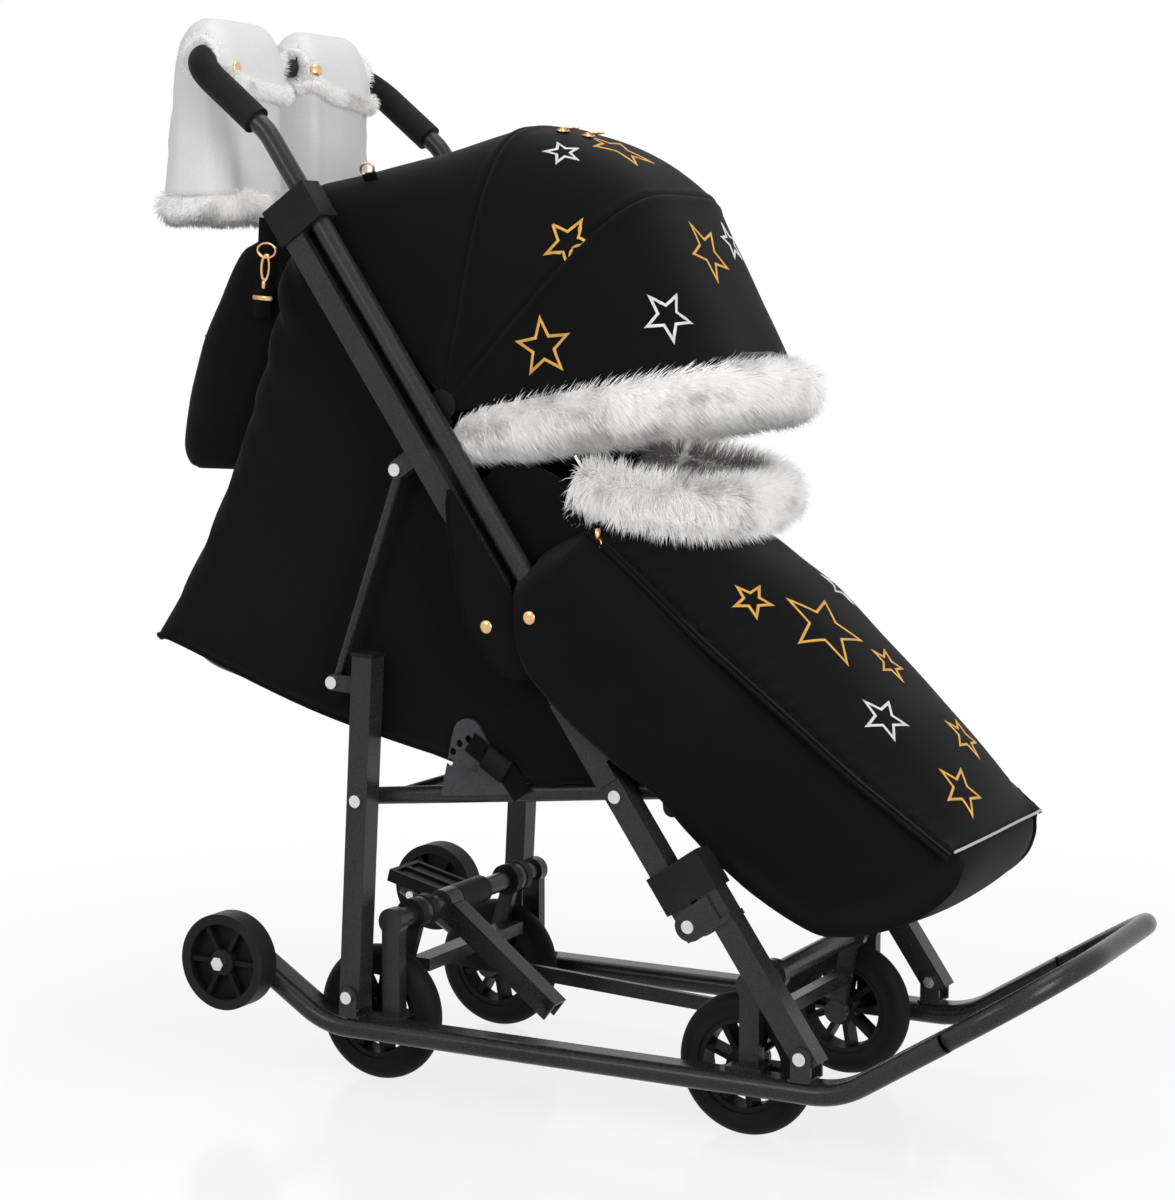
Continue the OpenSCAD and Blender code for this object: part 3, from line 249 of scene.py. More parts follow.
# Speckled coat, plastic, rubber: dark, lighter tone, roughness low and high, grain per metre, bump
def paintedMaterial(name, dark, light, rough, metallic=0.0, grain=900.0, bump=0.0003, flake=0.0,
                    edge=(0.3, 0.3, 0.31), shine=0.24):
    material, tree, shader = newMaterial(name, Metallic=metallic, Specular_IOR_Level=shine)
    marks = useGroup(tree, grainGroup, Patch=9.0, Grain=grain)
    rub = useGroup(tree, rubGroup)
    tone = mixColour(tree, ramp(tree, marks.outputs["Cloud"], 0.35, 0.65), dark, light)
    if flake:
        share = mathNode(tree, "MULTIPLY", rub.outputs["Flake"], flake)
        tone = mixColour(tree, share, tone, (0.3, 0.3, 0.31))
    tone = mixColour(tree, mathNode(tree, "MULTIPLY", rub.outputs["Edge"], 0.5), tone, edge)
    feed(tree, shader.inputs["Base Color"], tone)
    feed(tree, shader.inputs["Roughness"], spread(tree, marks.outputs["Height"], *rough))
    addBump(tree, shader, marks.outputs["Height"], 0.4, bump)
    return material


def clothMaterial(name, dark, light, rough=0.72, sheen=0.07, threads=1400.0, bump=0.00035):
    material, tree, shader = newMaterial(name, Sheen_Weight=sheen, Sheen_Roughness=0.4,
                                         Specular_IOR_Level=0.05)
    weave = useGroup(tree, weaveGroup, Threads=threads)
    cloud = useGroup(tree, grainGroup, Patch=5.0, Grain=260.0).outputs["Cloud"]
    tone = mixColour(tree, ramp(tree, weave.outputs["Shade"], 0.1, 0.6), dark, light)
    tone = mixColour(tree, ramp(tree, cloud, 0.3, 0.9), dark, tone)
    feed(tree, shader.inputs["Base Color"], tone)
    feed(tree, shader.inputs["Roughness"], spread(tree, cloud, rough - 0.1, rough + 0.1))
    addBump(tree, shader, weave.outputs["Height"], 0.5, bump)
    return material


def leatherMaterial(name, pale, shade):
    material, tree, shader = newMaterial(name, Specular_IOR_Level=0.4)
    marks = useGroup(tree, grainGroup, Patch=14.0, Grain=520.0)
    tone = mixColour(tree, ramp(tree, marks.outputs["Cell"], 0.0, 0.5), shade, pale)
    tone = mixColour(tree, ramp(tree, marks.outputs["Cloud"], 0.2, 0.8), tone, pale)
    feed(tree, shader.inputs["Base Color"], tone)
    feed(tree, shader.inputs["Roughness"], ramp(tree, marks.outputs["Cloud"], -0.6, 1.3))
    addBump(tree, shader, marks.outputs["Cell"], 0.35, 0.0006)
    return material


# Metal with fine brush marks
def metalMaterial(name, pale, dark, rough):
    material, tree, shader = newMaterial(name, Metallic=1.0)
    marks = useGroup(tree, grainGroup, Patch=60.0, Grain=1500.0)
    feed(tree, shader.inputs["Base Color"], mixColour(tree, marks.outputs["Cloud"], dark, pale))
    feed(tree, shader.inputs["Roughness"], spread(tree, marks.outputs["Height"], rough - 0.06, rough + 0.12))
    addBump(tree, shader, marks.outputs["Height"], 0.15, 0.0002)
    return material


# Satin stitch: threads lie side by side across the band
def threadMaterial(name, pale, dark):
    material, tree, shader = newMaterial(name, Metallic=0.35, Specular_IOR_Level=0.6)
    place = addNode(tree, "UVMap", {"uv_map": "cut"}).outputs[0]
    wave = addNode(tree, "TexWave", Vector=place, Scale=260.0, Distortion=1.2, Detail=2.0).outputs["Fac"]
    cloud = useGroup(tree, grainGroup, Patch=120.0, Grain=1800.0).outputs["Cloud"]
    tone = mixColour(tree, ramp(tree, cloud, 0.45, 0.75), mixColour(tree, wave, dark, pale), pale)
    feed(tree, shader.inputs["Base Color"], tone)
    feed(tree, shader.inputs["Roughness"], ramp(tree, cloud, -0.4, 1.6))
    addBump(tree, shader, wave, 0.6, 0.0005)
    return material


# Fur: each strand carries its own tone, with painted shade where the pile is deep, and the fur glows faintly in
# its own colour as painted light
def furMaterial(name, pale, dark):
    material, tree, shader = newMaterial(name, Specular_IOR_Level=0.2, Sheen_Weight=0.3,
                                         Emission_Strength=0.22)
    tone = addNode(tree, "Attribute", {"attribute_name": "tone"}).outputs["Fac"]
    marks = useGroup(tree, grainGroup, Patch=26.0, Grain=700.0)
    share = mathNode(tree, "MULTIPLY", tone, ramp(tree, marks.outputs["Cloud"], 0.1, 0.5), clamp=True)
    colour = mixColour(tree, share, dark, pale)
    feed(tree, shader.inputs["Base Color"], colour)
    # Emission in the fur's own colour: a painted glow that brightens the fur
    feed(tree, shader.inputs["Emission Color"], colour)
    feed(tree, shader.inputs["Roughness"], ramp(tree, marks.outputs["Height"], -1.2, 1.2))
    return material


coat = paintedMaterial("speckledCoat", (0.006, 0.006, 0.007), (0.014, 0.014, 0.015), (0.2, 0.32), 0.0, 700,
                       0.0004, 0.16, (0.035, 0.035, 0.037))
plastic = paintedMaterial("blackPlastic", (0.005, 0.005, 0.0055), (0.011, 0.011, 0.012), (0.42, 0.56), 0,
                          1100, 0.0004, edge=(0.03, 0.03, 0.03), shine=0.1)
rubber = paintedMaterial("blackRubber", (0.006, 0.006, 0.006), (0.012, 0.012, 0.012), (0.5, 0.7), 0, 700,
                         0.0006, edge=(0.025, 0.025, 0.025), shine=0.08)
board = paintedMaterial("greyBoard", (0.02, 0.02, 0.021), (0.035, 0.035, 0.036), (0.6, 0.8), 0, 300, 0.0006)
zinc = paintedMaterial("greyZinc", (0.012, 0.012, 0.013), (0.024, 0.024, 0.026), (0.3, 0.45), 0.2, 500,
                       0.0004, 0.25, (0.08, 0.08, 0.085))
chrome = metalMaterial("chromeBolt", (0.78, 0.78, 0.8), (0.55, 0.55, 0.57), 0.2)
gold = metalMaterial("paleGold", (0.86, 0.56, 0.3), (0.62, 0.36, 0.16), 0.22)
softshell = clothMaterial("softshell", (0.0035, 0.0035, 0.004), (0.009, 0.009, 0.0095))
webbing = clothMaterial("webbing", (0.003, 0.003, 0.003), (0.008, 0.008, 0.008), 0.75, 0.04, 700.0, 0.0006)
lining = clothMaterial("lining", (0.006, 0.006, 0.0065), (0.014, 0.014, 0.0145), 0.9, 0.06, 900.0)
binding = clothMaterial("paleBinding", (0.5, 0.5, 0.5), (0.8, 0.8, 0.8), 0.5, 0.05, 900.0)
leather = leatherMaterial("whiteLeather", (0.78, 0.78, 0.785), (0.66, 0.66, 0.67))
furPale = furMaterial("whiteFur", (0.92, 0.91, 0.905), (0.07, 0.066, 0.064))
goldThread = threadMaterial("goldThread", (0.86, 0.5, 0.1), (0.56, 0.27, 0.03))
silverThread = threadMaterial("silverThread", (0.85, 0.85, 0.87), (0.55, 0.55, 0.57))
print("materials made")


# The floor glows white away from the object, so that it runs into the background
floor = {"reach": 30, "colour": (0.86, 0.86, 0.87), "rough": 0.16, "glowFrom": 0.6, "glowTo": 1.6,
         "glowNear": 0.8}


def makeFloor():
    mesh = bpy.data.meshes.new("floor")
    corners = [(x * floor["reach"], y * floor["reach"], 0) for x, y in ((-1, -1), (1, -1), (1, 1), (-1, 1))]
    mesh.from_pydata(corners, [], [(0, 1, 2, 3)])
    plane = bpy.data.objects.new("floor", mesh)
    scene.collection.objects.link(plane)
    material, tree, shader = newMaterial("paleFloor", Base_Color=floor["colour"], Roughness=floor["rough"])
    glow = addNode(tree, "Emission", Strength=1.0)
    rays = addNode(tree, "LightPath").outputs
    far = addNode(tree, "VectorMath", {"operation": "LENGTH"})
    feed(tree, far.inputs[0], addNode(tree, "TexCoord").outputs["Object"])
    away = addNode(tree, "MapRange", {"interpolation_type": "SMOOTHSTEP"}, Value=far.outputs["Value"],
                   From_Min=floor["glowFrom"], From_Max=floor["glowTo"], To_Min=floor["glowNear"])
    seen = mathNode(tree, "ADD", rays["Is Camera Ray"], rays["Is Glossy Ray"], clamp=True)
    mixShader(tree, mathNode(tree, "MULTIPLY", seen, away.outputs["Result"]), shader, glow, "Material Output")
    mesh.materials.append(material)


def makeWorld():
    world = bpy.data.worlds.new("studio")
    scene.world = world
    world.use_nodes = True
    tree = world.node_tree
    plain = tree.nodes["Background"]
    feed(tree, plain.inputs["Color"], (1, 1, 1))
    feed(tree, plain.inputs["Strength"], 0.3)
    white = addNode(tree, "Background", Color=(1, 1, 1), Strength=1.0)
    rays = addNode(tree, "LightPath").outputs
    seen = mathNode(tree, "ADD", rays["Is Camera Ray"], rays["Is Transmission Ray"], clamp=True)
    seen = mathNode(tree, "ADD", seen, rays["Is Glossy Ray"], clamp=True)
    mixShader(tree, seen, plain, white, "World Output")


makeFloor()
makeWorld()
print("stage made")


# Mesh helpers, all in millimetres ahead of the rear axle
def meshPiece(name, points, faces, material, cut=None):
    mesh = bpy.data.meshes.new(name)
    mesh.from_pydata(toFrame(points).tolist(), [], [tuple(map(int, f)) for f in faces])
    if cut is not None:
        layer = mesh.uv_layers.new(name="cut")
        index = np.zeros(len(mesh.loops), np.int32)
        mesh.loops.foreach_get("vertex_index", index)
        layer.data.foreach_set("uv", (np.asarray(cut, float)[index] / 1000).astype(np.float32).ravel())
    mesh.polygons.foreach_set("use_smooth", [True] * len(mesh.polygons))
    mesh.materials.append(material)
    mesh.update()
    piece = bpy.data.objects.new(name, mesh)
    scene.collection.objects.link(piece)
    return piece


def gridFaces(rows, columns, wrap=False):
    last = columns if wrap else columns - 1
    return [(i * columns + j, i * columns + (j + 1) % columns,
             (i + 1) * columns + (j + 1) % columns, (i + 1) * columns + j)
            for i in range(rows - 1) for j in range(last)]


def unitRows(v):
    return v / np.maximum(np.linalg.norm(v, axis=-1, keepdims=True), 1e-9)


def farAlong(points):
    return np.concatenate([[0], np.cumsum(np.linalg.norm(np.diff(points, axis=0), axis=1))])


def fullTurn(count):
    return np.linspace(0, 2 * math.pi, count, endpoint=False)


# A cosine or sine flattened towards a square when the power is below one
def squared(v, power):
    return np.sign(v) * np.abs(v) ** power


# Points of a side view, stood up at the given distance across
def upright(flat, y):
    return np.stack([flat[..., 0], np.broadcast_to(y, flat.shape[:-1]), flat[..., 1]], axis=-1)


def gridCut(grid):
    along = farAlong(grid[:, grid.shape[1] // 2])
    across = np.linalg.norm(np.diff(grid, axis=1), axis=2)
    across = np.concatenate([np.zeros((len(grid), 1)), np.cumsum(across, axis=1)], axis=1)
    return np.stack([across, np.repeat(along[:, None], grid.shape[1], axis=1)], axis=2).reshape(-1, 2)


def gridPiece(name, grid, material, wrap=False, flip=False, thick=0.0, caps=(False, False)):
    grid = np.asarray(grid, float)
    rows, columns = grid.shape[:2]
    faces = gridFaces(rows, columns, wrap)
    if caps[0]:
        faces.append(tuple(range(columns))[::-1])
    if caps[1]:
        faces.append(tuple(range((rows - 1) * columns, rows * columns)))
    if flip:
        faces = [f[::-1] for f in faces]
    piece = meshPiece(name, grid.reshape(-1, 3), faces, material, gridCut(grid))
    if thick:
        wall = piece.modifiers.new("wall", "SOLIDIFY")
        wall.thickness = thick / 1000
        wall.offset = -1
    return piece


def smoothLine(points, count):
    p = np.asarray(points, float)
    shape = p.shape[1:]
    p = p.reshape(len(p), -1)
    ends = np.vstack([2 * p[0] - p[1], p, 2 * p[-1] - p[-2]])
    u = np.linspace(0, len(p) - 1, count)
    i = np.minimum(u.astype(int), len(p) - 2)
    f = (u - i)[:, None]
    a, b, c, d = (ends[i + k] for k in range(4))
    line = 0.5 * (2 * b + (c - a) * f + (2 * a - 5 * b + 4 * c - d) * f ** 2
                  + (3 * b - a - 3 * c + d) * f ** 3)
    return line.reshape((count,) + shape)


def evenLine(points, count):
    p = np.asarray(points, float)
    far = farAlong(p)
    want = np.linspace(0, far[-1], count)
    return np.stack([np.interp(want, far, p[:, k]) for k in range(p.shape[1])], axis=1)


def pathFrames(path, closed=False):
    path = np.asarray(path, float)
    if closed:
        forward = unitRows(np.roll(path, -1, axis=0) - np.roll(path, 1, axis=0))
    else:
        forward = unitRows(np.gradient(path, axis=0))
    side = np.cross(forward[0], (0, 0, 1))
    if np.linalg.norm(side) < 0.1:
        side = np.cross(forward[0], (1, 0, 0))
    sides = []
    for f in forward:
        side = unitRows(side - f * np.dot(side, f))
        sides.append(side)
    sides = np.array(sides)
    return forward, sides, np.cross(forward, sides)


def tubeGrid(path, radius, around=12, closed=False, flat=1.0):
    path = np.asarray(path, float)
    forward, sides, ups = pathFrames(path, closed)
    turn = fullTurn(around)
    r = np.broadcast_to(np.asarray(radius, float), (len(path),))[:, None, None]
    grid = path[:, None] + r * (np.cos(turn)[None, :, None] * sides[:, None]
                                + flat * np.sin(turn)[None, :, None] * ups[:, None])
    return np.concatenate([grid, grid[:1]]) if closed else grid


def tubePiece(name, path, radius, material, around=12, closed=False, flat=1.0):
    return gridPiece(name, tubeGrid(path, radius, around, closed, flat), material, wrap=True,
                     caps=(not closed, not closed))


def joinPieces(name, pieces):
    for other in bpy.context.selected_objects:
        other.select_set(False)
    for piece in pieces:
        piece.select_set(True)
    bpy.context.view_layer.objects.active = pieces[0]
    bpy.ops.object.join()
    whole = bpy.context.view_layer.objects.active
    whole.name = whole.data.name = name
    whole.select_set(False)
    return whole


# A turned button, knob or ring: outline as radius and height, set on a place with its axis along out
def turnedPiece(name, outline, place, out, material, around=28):
    out = unitRows(np.asarray(out, float))
    side = unitRows(np.cross(out, (0, 0, 1) if abs(out[2]) < 0.9 else (1, 0, 0)))
    up = np.cross(out, side)
    turn = fullTurn(around)
    circle = np.cos(turn)[:, None] * side + np.sin(turn)[:, None] * up
    grid = [np.asarray(place, float) + r * circle + h * out for r, h in outline]
    return gridPiece(name, np.array(grid), material, wrap=True, caps=(True, True))


def strapPiece(name, path, width, thick, across, material):
    path = np.asarray(path, float)
    forward = unitRows(np.gradient(path, axis=0))
    across = np.broadcast_to(np.asarray(across, float), path.shape)
    across = unitRows(across - forward * np.sum(across * forward, axis=1, keepdims=True))
    out = np.cross(forward, across)
    ring = [(-0.5, -0.4), (-0.47, 0.5), (0.47, 0.5), (0.5, -0.4), (0.47, -0.5), (-0.47, -0.5)]
    grid = np.stack([path + u * width * across + v * thick * out for u, v in ring], axis=1)
    return gridPiece(name, grid, material, wrap=True, caps=(True, True))


def mirrorPiece(piece):
    for vertex in piece.data.vertices:
        vertex.co.y = -vertex.co.y
    piece.data.flip_normals()


def setTone(piece, tones):
    layer = piece.data.attributes.new("tone", "FLOAT", "POINT")
    tones = np.broadcast_to(np.asarray(tones, np.float32), len(piece.data.vertices))
    layer.data.foreach_set("value", np.ascontiguousarray(tones))


# Gentle creases: a sum of a few slow waves, the same on every run
def creases(points, size, amount, seed):
    rng = np.random.default_rng(seed)
    total = np.zeros(points.shape[:-1])
    for k in range(7):
        way = rng.normal(size=3)
        way = way / np.linalg.norm(way) * (2 * math.pi / (size * rng.uniform(0.6, 1.8)))
        total += np.sin(points @ way + rng.uniform(0, 6.28)) * rng.uniform(0.5, 1.0)
    return amount * total / 4


def gridNormals(grid, outward):
    n = unitRows(np.cross(np.gradient(grid, axis=0), np.gradient(grid, axis=1)))
    away = np.sum(n * (grid - np.asarray(outward)), axis=-1).mean()
    return n if away > 0 else -n


# Fur: tapered strands that stand on root points, lean with the lay and end in a bent tip
def furPiece(name, roots, outs, lay, spec, material, seed, tones=None, tips=None):
    rng = np.random.default_rng(seed)
    count = len(roots)
    lay = np.broadcast_to(np.asarray(lay, float), roots.shape)
    lay = unitRows(lay - outs * np.sum(lay * outs, axis=1, keepdims=True))
    clump = np.stack([creases(roots, spec["clump"], 1.0, seed + k) for k in range(3)], axis=1)
    way = unitRows(outs * spec["stand"] + lay * spec["lean"] + clump * spec["tuft"]
                   + rng.normal(size=(count, 3)) * spec["stray"])
    long = spec["long"] * rng.uniform(0.6, 1.12, (count, 1))
    bend = unitRows(way + lay * spec["droop"] + np.array((0, 0, -0.25)) * spec["droop"])
    middle = roots + way * long * 0.55
    tip = middle + bend * long * 0.45
    side = unitRows(np.cross(way, rng.normal(size=(count, 3))))
    third = np.cross(way, side)
    ring = [(math.cos(a), math.sin(a)) for a in (0, 2.0944, 4.1888)]  # three-sided strands
    width = spec["width"] * rng.uniform(0.7, 1.2, (count, 1))
    base = [roots - way * 1.5 + width * (c * side + s * third) for c, s in ring]
    half = [middle + 0.62 * width * (c * side + s * third) for c, s in ring]
    points = np.stack(base + half + [tip], axis=1).reshape(-1, 3)
    pattern = np.array([(0, 1, 4), (0, 4, 3), (1, 2, 5), (1, 5, 4), (2, 0, 3), (2, 3, 5), (3, 4, 6),
                        (4, 5, 6), (5, 3, 6)])
    faces = (np.arange(count)[:, None, None] * 7 + pattern[None]).reshape(-1, 3)
    piece = meshPiece(name, points, faces, material)
    tone = np.ones(count) if tones is None else tones
    tone = np.clip(tone * rng.uniform(0.9, 1.0, count), 0, 1)
    tipTone = tone if tips is None else tips
    # Painted shade: roots are darker than middles, and middles than tips
    shade = np.stack([tone * 0.86] * 3 + [tone * 0.97] * 3 + [tipTone], axis=1).ravel()
    setTone(piece, shade)
    return piece


# Root points spread over a tube round a path
def furRoots(path, radius, count, seed, closed=False, flat=1.0):
    rng = np.random.default_rng(seed)
    path = np.asarray(path, float)
    forward, sides, ups = pathFrames(path, closed)
    i = rng.integers(0, len(path) - (0 if closed else 1), count)
    f = rng.uniform(size=(count, 1))
    nextOne = (i + 1) % len(path)
    turn = rng.uniform(0, 2 * math.pi, (count, 1))
    out = unitRows(np.cos(turn) * sides[i] + flat * np.sin(turn) * ups[i])
    r = np.broadcast_to(np.asarray(radius, float), (len(path),))[i][:, None]
    centre = path[i] * (1 - f) + path[nextOne] * f
    return centre + r * out, out, forward[i]


# A piece's shape as shown, for placing trim on it
def surfaceOf(piece):
    graph = bpy.context.evaluated_depsgraph_get()
    return BVHTree.FromObject(piece, graph)


# Way through a pixel of the photo in the camera's own axes
def pixelWay(pixel):
    wide, tall = view["photo"]
    focal = view["lens"] / sensor * tall
    return Vector(((pixel[0] - wide / 2) / focal, (tall / 2 - pixel[1]) / focal, -1))


# Where a pixel meets a plane at the given distance across, and where it meets a surface
def pixelOnSide(pixel, y):
    start = toMillimetres(camera.location)
    way = np.array(camera.matrix_world.to_3x3() @ pixelWay(pixel))
    return start + way * (y - start[1]) / way[1]


def pixelHit(surface, pixel):
    way = camera.matrix_world.to_3x3() @ pixelWay(pixel).normalized()
    place, normal, _, _ = surface.ray_cast(camera.location, way)
    if place is None:
        return None, None
    if normal.dot(way) > 0:
        normal = -normal
    return toMillimetres(place), np.array(normal)


def onSurface(surface, points, lift):
    done = []
    for p in points:
        place, normal, _, _ = surface.find_nearest(Vector(toFrame(p)))
        q = toMillimetres(place)
        away = p - q
        n = np.array(normal)
        if np.dot(n, away) < 0 and np.linalg.norm(away) > 0.5:
            n = -n
        done.append(q + n * lift)
    return np.array(done)


# Embroidered star: a band of satin stitch laid on the cloth
starShape = {"points": 5, "inner": 0.43, "band": 5.8, "slant": 1.5, "steps": 7, "lift": 0.9, "clear": 0.15}


def starPiece(name, surface, centre, normal, radius, turn, material):
    n = normal / np.linalg.norm(normal)
    up = np.array((0, 0, 1.0)) - n * n[2]
    if np.linalg.norm(up) < 0.2:
        up = np.array((1.0, 0, 0)) - n * n[0]
    up = up / np.linalg.norm(up)
    right = np.cross(up, n)
    count = 2 * starShape["points"]
    corners = []
    for k in range(count):
        r = radius * (1 if k % 2 == 0 else starShape["inner"])
        a = math.radians(turn + 360 / count * k)
        corners.append(r * math.sin(a) * right + r * math.cos(a) * up)
    corners = np.array(corners)
    steps = np.linspace(0, 1, starShape["steps"], endpoint=False)[:, None]
    line = np.concatenate([a + (b - a) * steps for a, b in zip(corners, np.roll(corners, -1, axis=0))])
    share = starShape["band"] / radius
    rows = []
    for inward, lift in ((0.0, 0.1), (0.25, 0.8), (0.75, 0.8), (1.0, 0.1)):
        flat = centre + n * 6 + line * (1 - starShape["slant"] * share * inward)
        rows.append(onSurface(surface, flat, starShape["lift"] * lift + starShape["clear"]))
    grid = np.stack(rows, axis=1)
    return gridPiece(name, np.concatenate([grid, grid[:1]]), material)


def finishPiece(piece, body, replaced=()):
    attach(piece, body)
    if replaced:
        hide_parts(*replaced)
    return piece


# Flat size of a cloth cut, measured along its own rows and columns
def declareSheet(piece, grid):
    grid = np.asarray(grid, float) / 1000
    width = np.linalg.norm(np.diff(grid, axis=1), axis=2).sum(axis=1).max()
    length = np.linalg.norm(np.diff(grid, axis=0), axis=2).sum(axis=0).max()
    a, b = grid[1:, :-1] - grid[:-1, :-1], grid[:-1, 1:] - grid[:-1, :-1]
    area = np.linalg.norm(np.cross(a, b), axis=2).sum()
    width, length = round(float(width), 3), round(float(length), 3)
    area = min(round(float(area), 4), width * length)
    print("sheet", piece.name, width, length, area)


# CAD nodes that show as they are, with their finishes
finishes = {
    "coat": coat, "plastic": plastic, "chrome": chrome, "tyre": rubber, "grip": rubber, "zinc": zinc,
    "softshell": softshell, "lining": lining, "board": board, "white_leather": leather, "fur": furPale,
}
subParts = {s["node"]: s["material_slot"] for s in frame["record"]["subparts"]}
for nodeName, node in nodes.items():
    node.data.materials.clear()
    node.data.materials.append(finishes[subParts[nodeName]])
print("frame finished in", len(set(subParts.values())), "materials")

# Hood: three panels over the bows
hood = {
    "halfWidth": 159.6, "archPower": 0.52, "archTall": 1.8, "overBow": 7.0, "thick": 2.2, "across": 96,
    "along": 30, "seamDip": 0.7, "seamWelt": 1.3, "weltAt": 6.0, "weltWide": 3.5, "dipWide": 1.8,
    "seamFlat": 25, "rear": (80, 292), "middle": (47, 293), "front": (10, 292), "backFoot": (-70.4, 932.5),
    "backCrown": (4, 44), "closeFoot": (-99, 918), "closeCrown": (0.1, 1), "closeRows": 10, "creaseSize": 130,
    "crease": 1.5, "tabRise": 3.4, "tabHalf": 16, "tabLong": 62, "tabFade": 25, "edgeDrop": 9,
    "edgeTurn": 2.4, "blendBand": 45,
}
pivot = jointAt["hood_middle_turn"]
pivotPlace = np.array(((pivot.x - rearAxle.x) * 1000, pivot.z * 1000))


def polar(turn, reach):
    return reach * np.array((math.cos(math.radians(turn)), math.sin(math.radians(turn))))


def archLine(count):
    a = np.radians(np.linspace(0.02, 179.98, 4000))
    power, tall = hood["archPower"], hood["archTall"]
    flat = np.stack([-squared(np.cos(a), power), np.sin(a) ** power * tall], axis=1)
    return evenLine(flat, count) / np.array((1, tall))


def hoodGrid(feet, crowns, welts, seed):
    arch = archLine(hood["across"])
    rows = []
    for foot, crown in zip(feet, crowns):
        crown = crown * (1 + hood["overBow"] / max(np.linalg.norm(crown), 40))
        side = foot + crown * arch[:, 1:2]
        rows.append(upright(side, arch[:, 0] * hood["halfWidth"]))
    grid = np.array(rows)
    n = gridNormals(grid, (pivotPlace[0], 0, pivotPlace[1]))
    gap = np.linalg.norm(np.diff(grid, axis=0), axis=2)
    far = np.concatenate([np.zeros((1, hood["across"])), np.cumsum(gap, axis=0)])
    rise = creases(grid, hood["creaseSize"], hood["crease"], seed) * np.clip(arch[:, 1] * 4, 0, 1)[None]
    for atStart in welts:
        d = far if atStart else far[-1] - far
        welt = hood["seamWelt"] * np.exp(-((d - hood["weltAt"]) / hood["weltWide"]) ** 2)
        dip = hood["seamDip"] * np.exp(-(d / hood["dipWide"]) ** 2)
        rise = rise * np.clip(d / hood["seamFlat"], 0, 1) + welt - dip
    return coverTab(grid + n * rise[..., None])


# The cloth runs out over the flat foot of the rear bow, which stands a little outside it
def coverTab(grid):
    ahead, across = polar(hood["rear"][0], 1.0), polar(hood["rear"][0] + 90, 1.0)
    flat = grid[..., (0, 2)] - pivotPlace
    fade = np.clip(1 - (flat @ ahead - hood["tabLong"]) / hood["tabFade"], 0, 1)
    rise = hood["tabRise"] * np.exp(-((flat @ across) / hood["tabHalf"]) ** 2) * fade ** 2 * (3 - 2 * fade)
    return grid + np.stack([rise * 0, rise * np.sign(grid[..., 1]), rise * 0], axis=-1)


# Rows lie closer together at both ends, where the seams are
def denseEnds(count):
    t = np.linspace(0, 1, count)
    return t - 0.1 * np.sin(2 * math.pi * t)


def between(first, last, shares):
    return [first + (last - first) * t for t in shares]


def hoodPanels():
    steps = denseEnds(hood["along"])
    (rearTurn, rearReach), (middleTurn, middleReach) = hood["rear"], hood["middle"]
    frontTurn, frontReach = hood["front"]
    backFoot, backCrown, closeFoot, closeCrown = (
        np.array(hood[k], float) for k in ("backFoot", "backCrown", "closeFoot", "closeCrown"))
    early = np.linspace(0, 1, hood["closeRows"], endpoint=False)
    feet = between(closeFoot, backFoot, early) + between(backFoot, pivotPlace, steps)
    crowns = between(closeCrown, backCrown, np.sin(early * math.pi / 2))
    crowns += between(backCrown, polar(rearTurn, rearReach), steps)
    rearGrid = hoodGrid(feet, crowns, (False,), 3)
    feet = [pivotPlace] * len(steps)
    crowns = [polar(rearTurn + (middleTurn - rearTurn) * t, rearReach + (middleReach - rearReach) * t)
              for t in steps]
    middleGrid = hoodGrid(feet, crowns, (True, False), 5)
    drops = [polar(frontTurn - 90, hood["edgeDrop"] * t * t) for t in steps]
    feet = [pivotPlace + drop for drop in drops]
    flat = between(polar(middleTurn, middleReach), polar(frontTurn - hood["edgeTurn"], frontReach), steps)
    frontGrid = hoodGrid(feet, [crown - drop for crown, drop in zip(flat, drops)], (True,), 8)
    return rearGrid, middleGrid, frontGrid


rearGrid, middleGrid, frontGrid = hoodPanels()
hoodRear, hoodMiddle, hoodFront = (
    gridPiece(name, grid, softshell, thick=hood["thick"], flip=True)
    for name, grid in (("hoodRear", rearGrid), ("hoodMiddle", middleGrid), ("hoodFront", frontGrid)))
bpy.context.view_layer.update()
# Stars by photo pixel, then radius, turn, whether silver and whether the far side has the same
hoodStars = {
    "middle": [((563, 152), 23, -14, 1, 0), ((618, 149), 46, -10, 0, 0), ((569, 243), 31, 24, 0, 1)],
    "front": [((708, 252), 39, -22, 0, 0), ((668, 316), 31, 30, 1, 1), ((543, 347), 34, -8, 0, 1),
              ((731, 243), 26, 0, 1, 0)],
}


def sewStars(name, surface, stars):
    made = []
    for k, (pixel, radius, turn, silver, mirrored) in enumerate(stars):
        place, normal = pixelHit(surface, pixel)
        if place is None:
            print("no cloth behind star", name, pixel)
            continue
        thread = silverThread if silver else goldThread
        made.append(starPiece("%sStar%d" % (name, k), surface, place, normal, radius, turn, thread))
        if mirrored:
            far, farNormal = place * (1, -1, 1), normal * (1, -1, 1)
            made.append(starPiece("%sFarStar%d" % (name, k), surface, far, farNormal, radius, -turn, thread))
    return joinPieces(name + "Stars", made)


middleStars = sewStars("hoodMiddle", surfaceOf(hoodMiddle), hoodStars["middle"])
frontStars = sewStars("hoodFront", surfaceOf(hoodFront), hoodStars["front"])
finishPiece(hoodRear, "upper_frame", ["hood_rear"])
declareSheet(hoodRear, rearGrid)
for piece in (hoodMiddle, middleStars):
    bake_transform(piece)
for piece in (hoodFront, frontStars):
    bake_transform(piece)
for piece, nodeName in ((hoodMiddle, "hood_middle"), (hoodFront, "hood_front")):
    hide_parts(nodeName)
declareSheet(hoodMiddle, middleGrid)
declareSheet(hoodFront, frontGrid)
print("hood made")


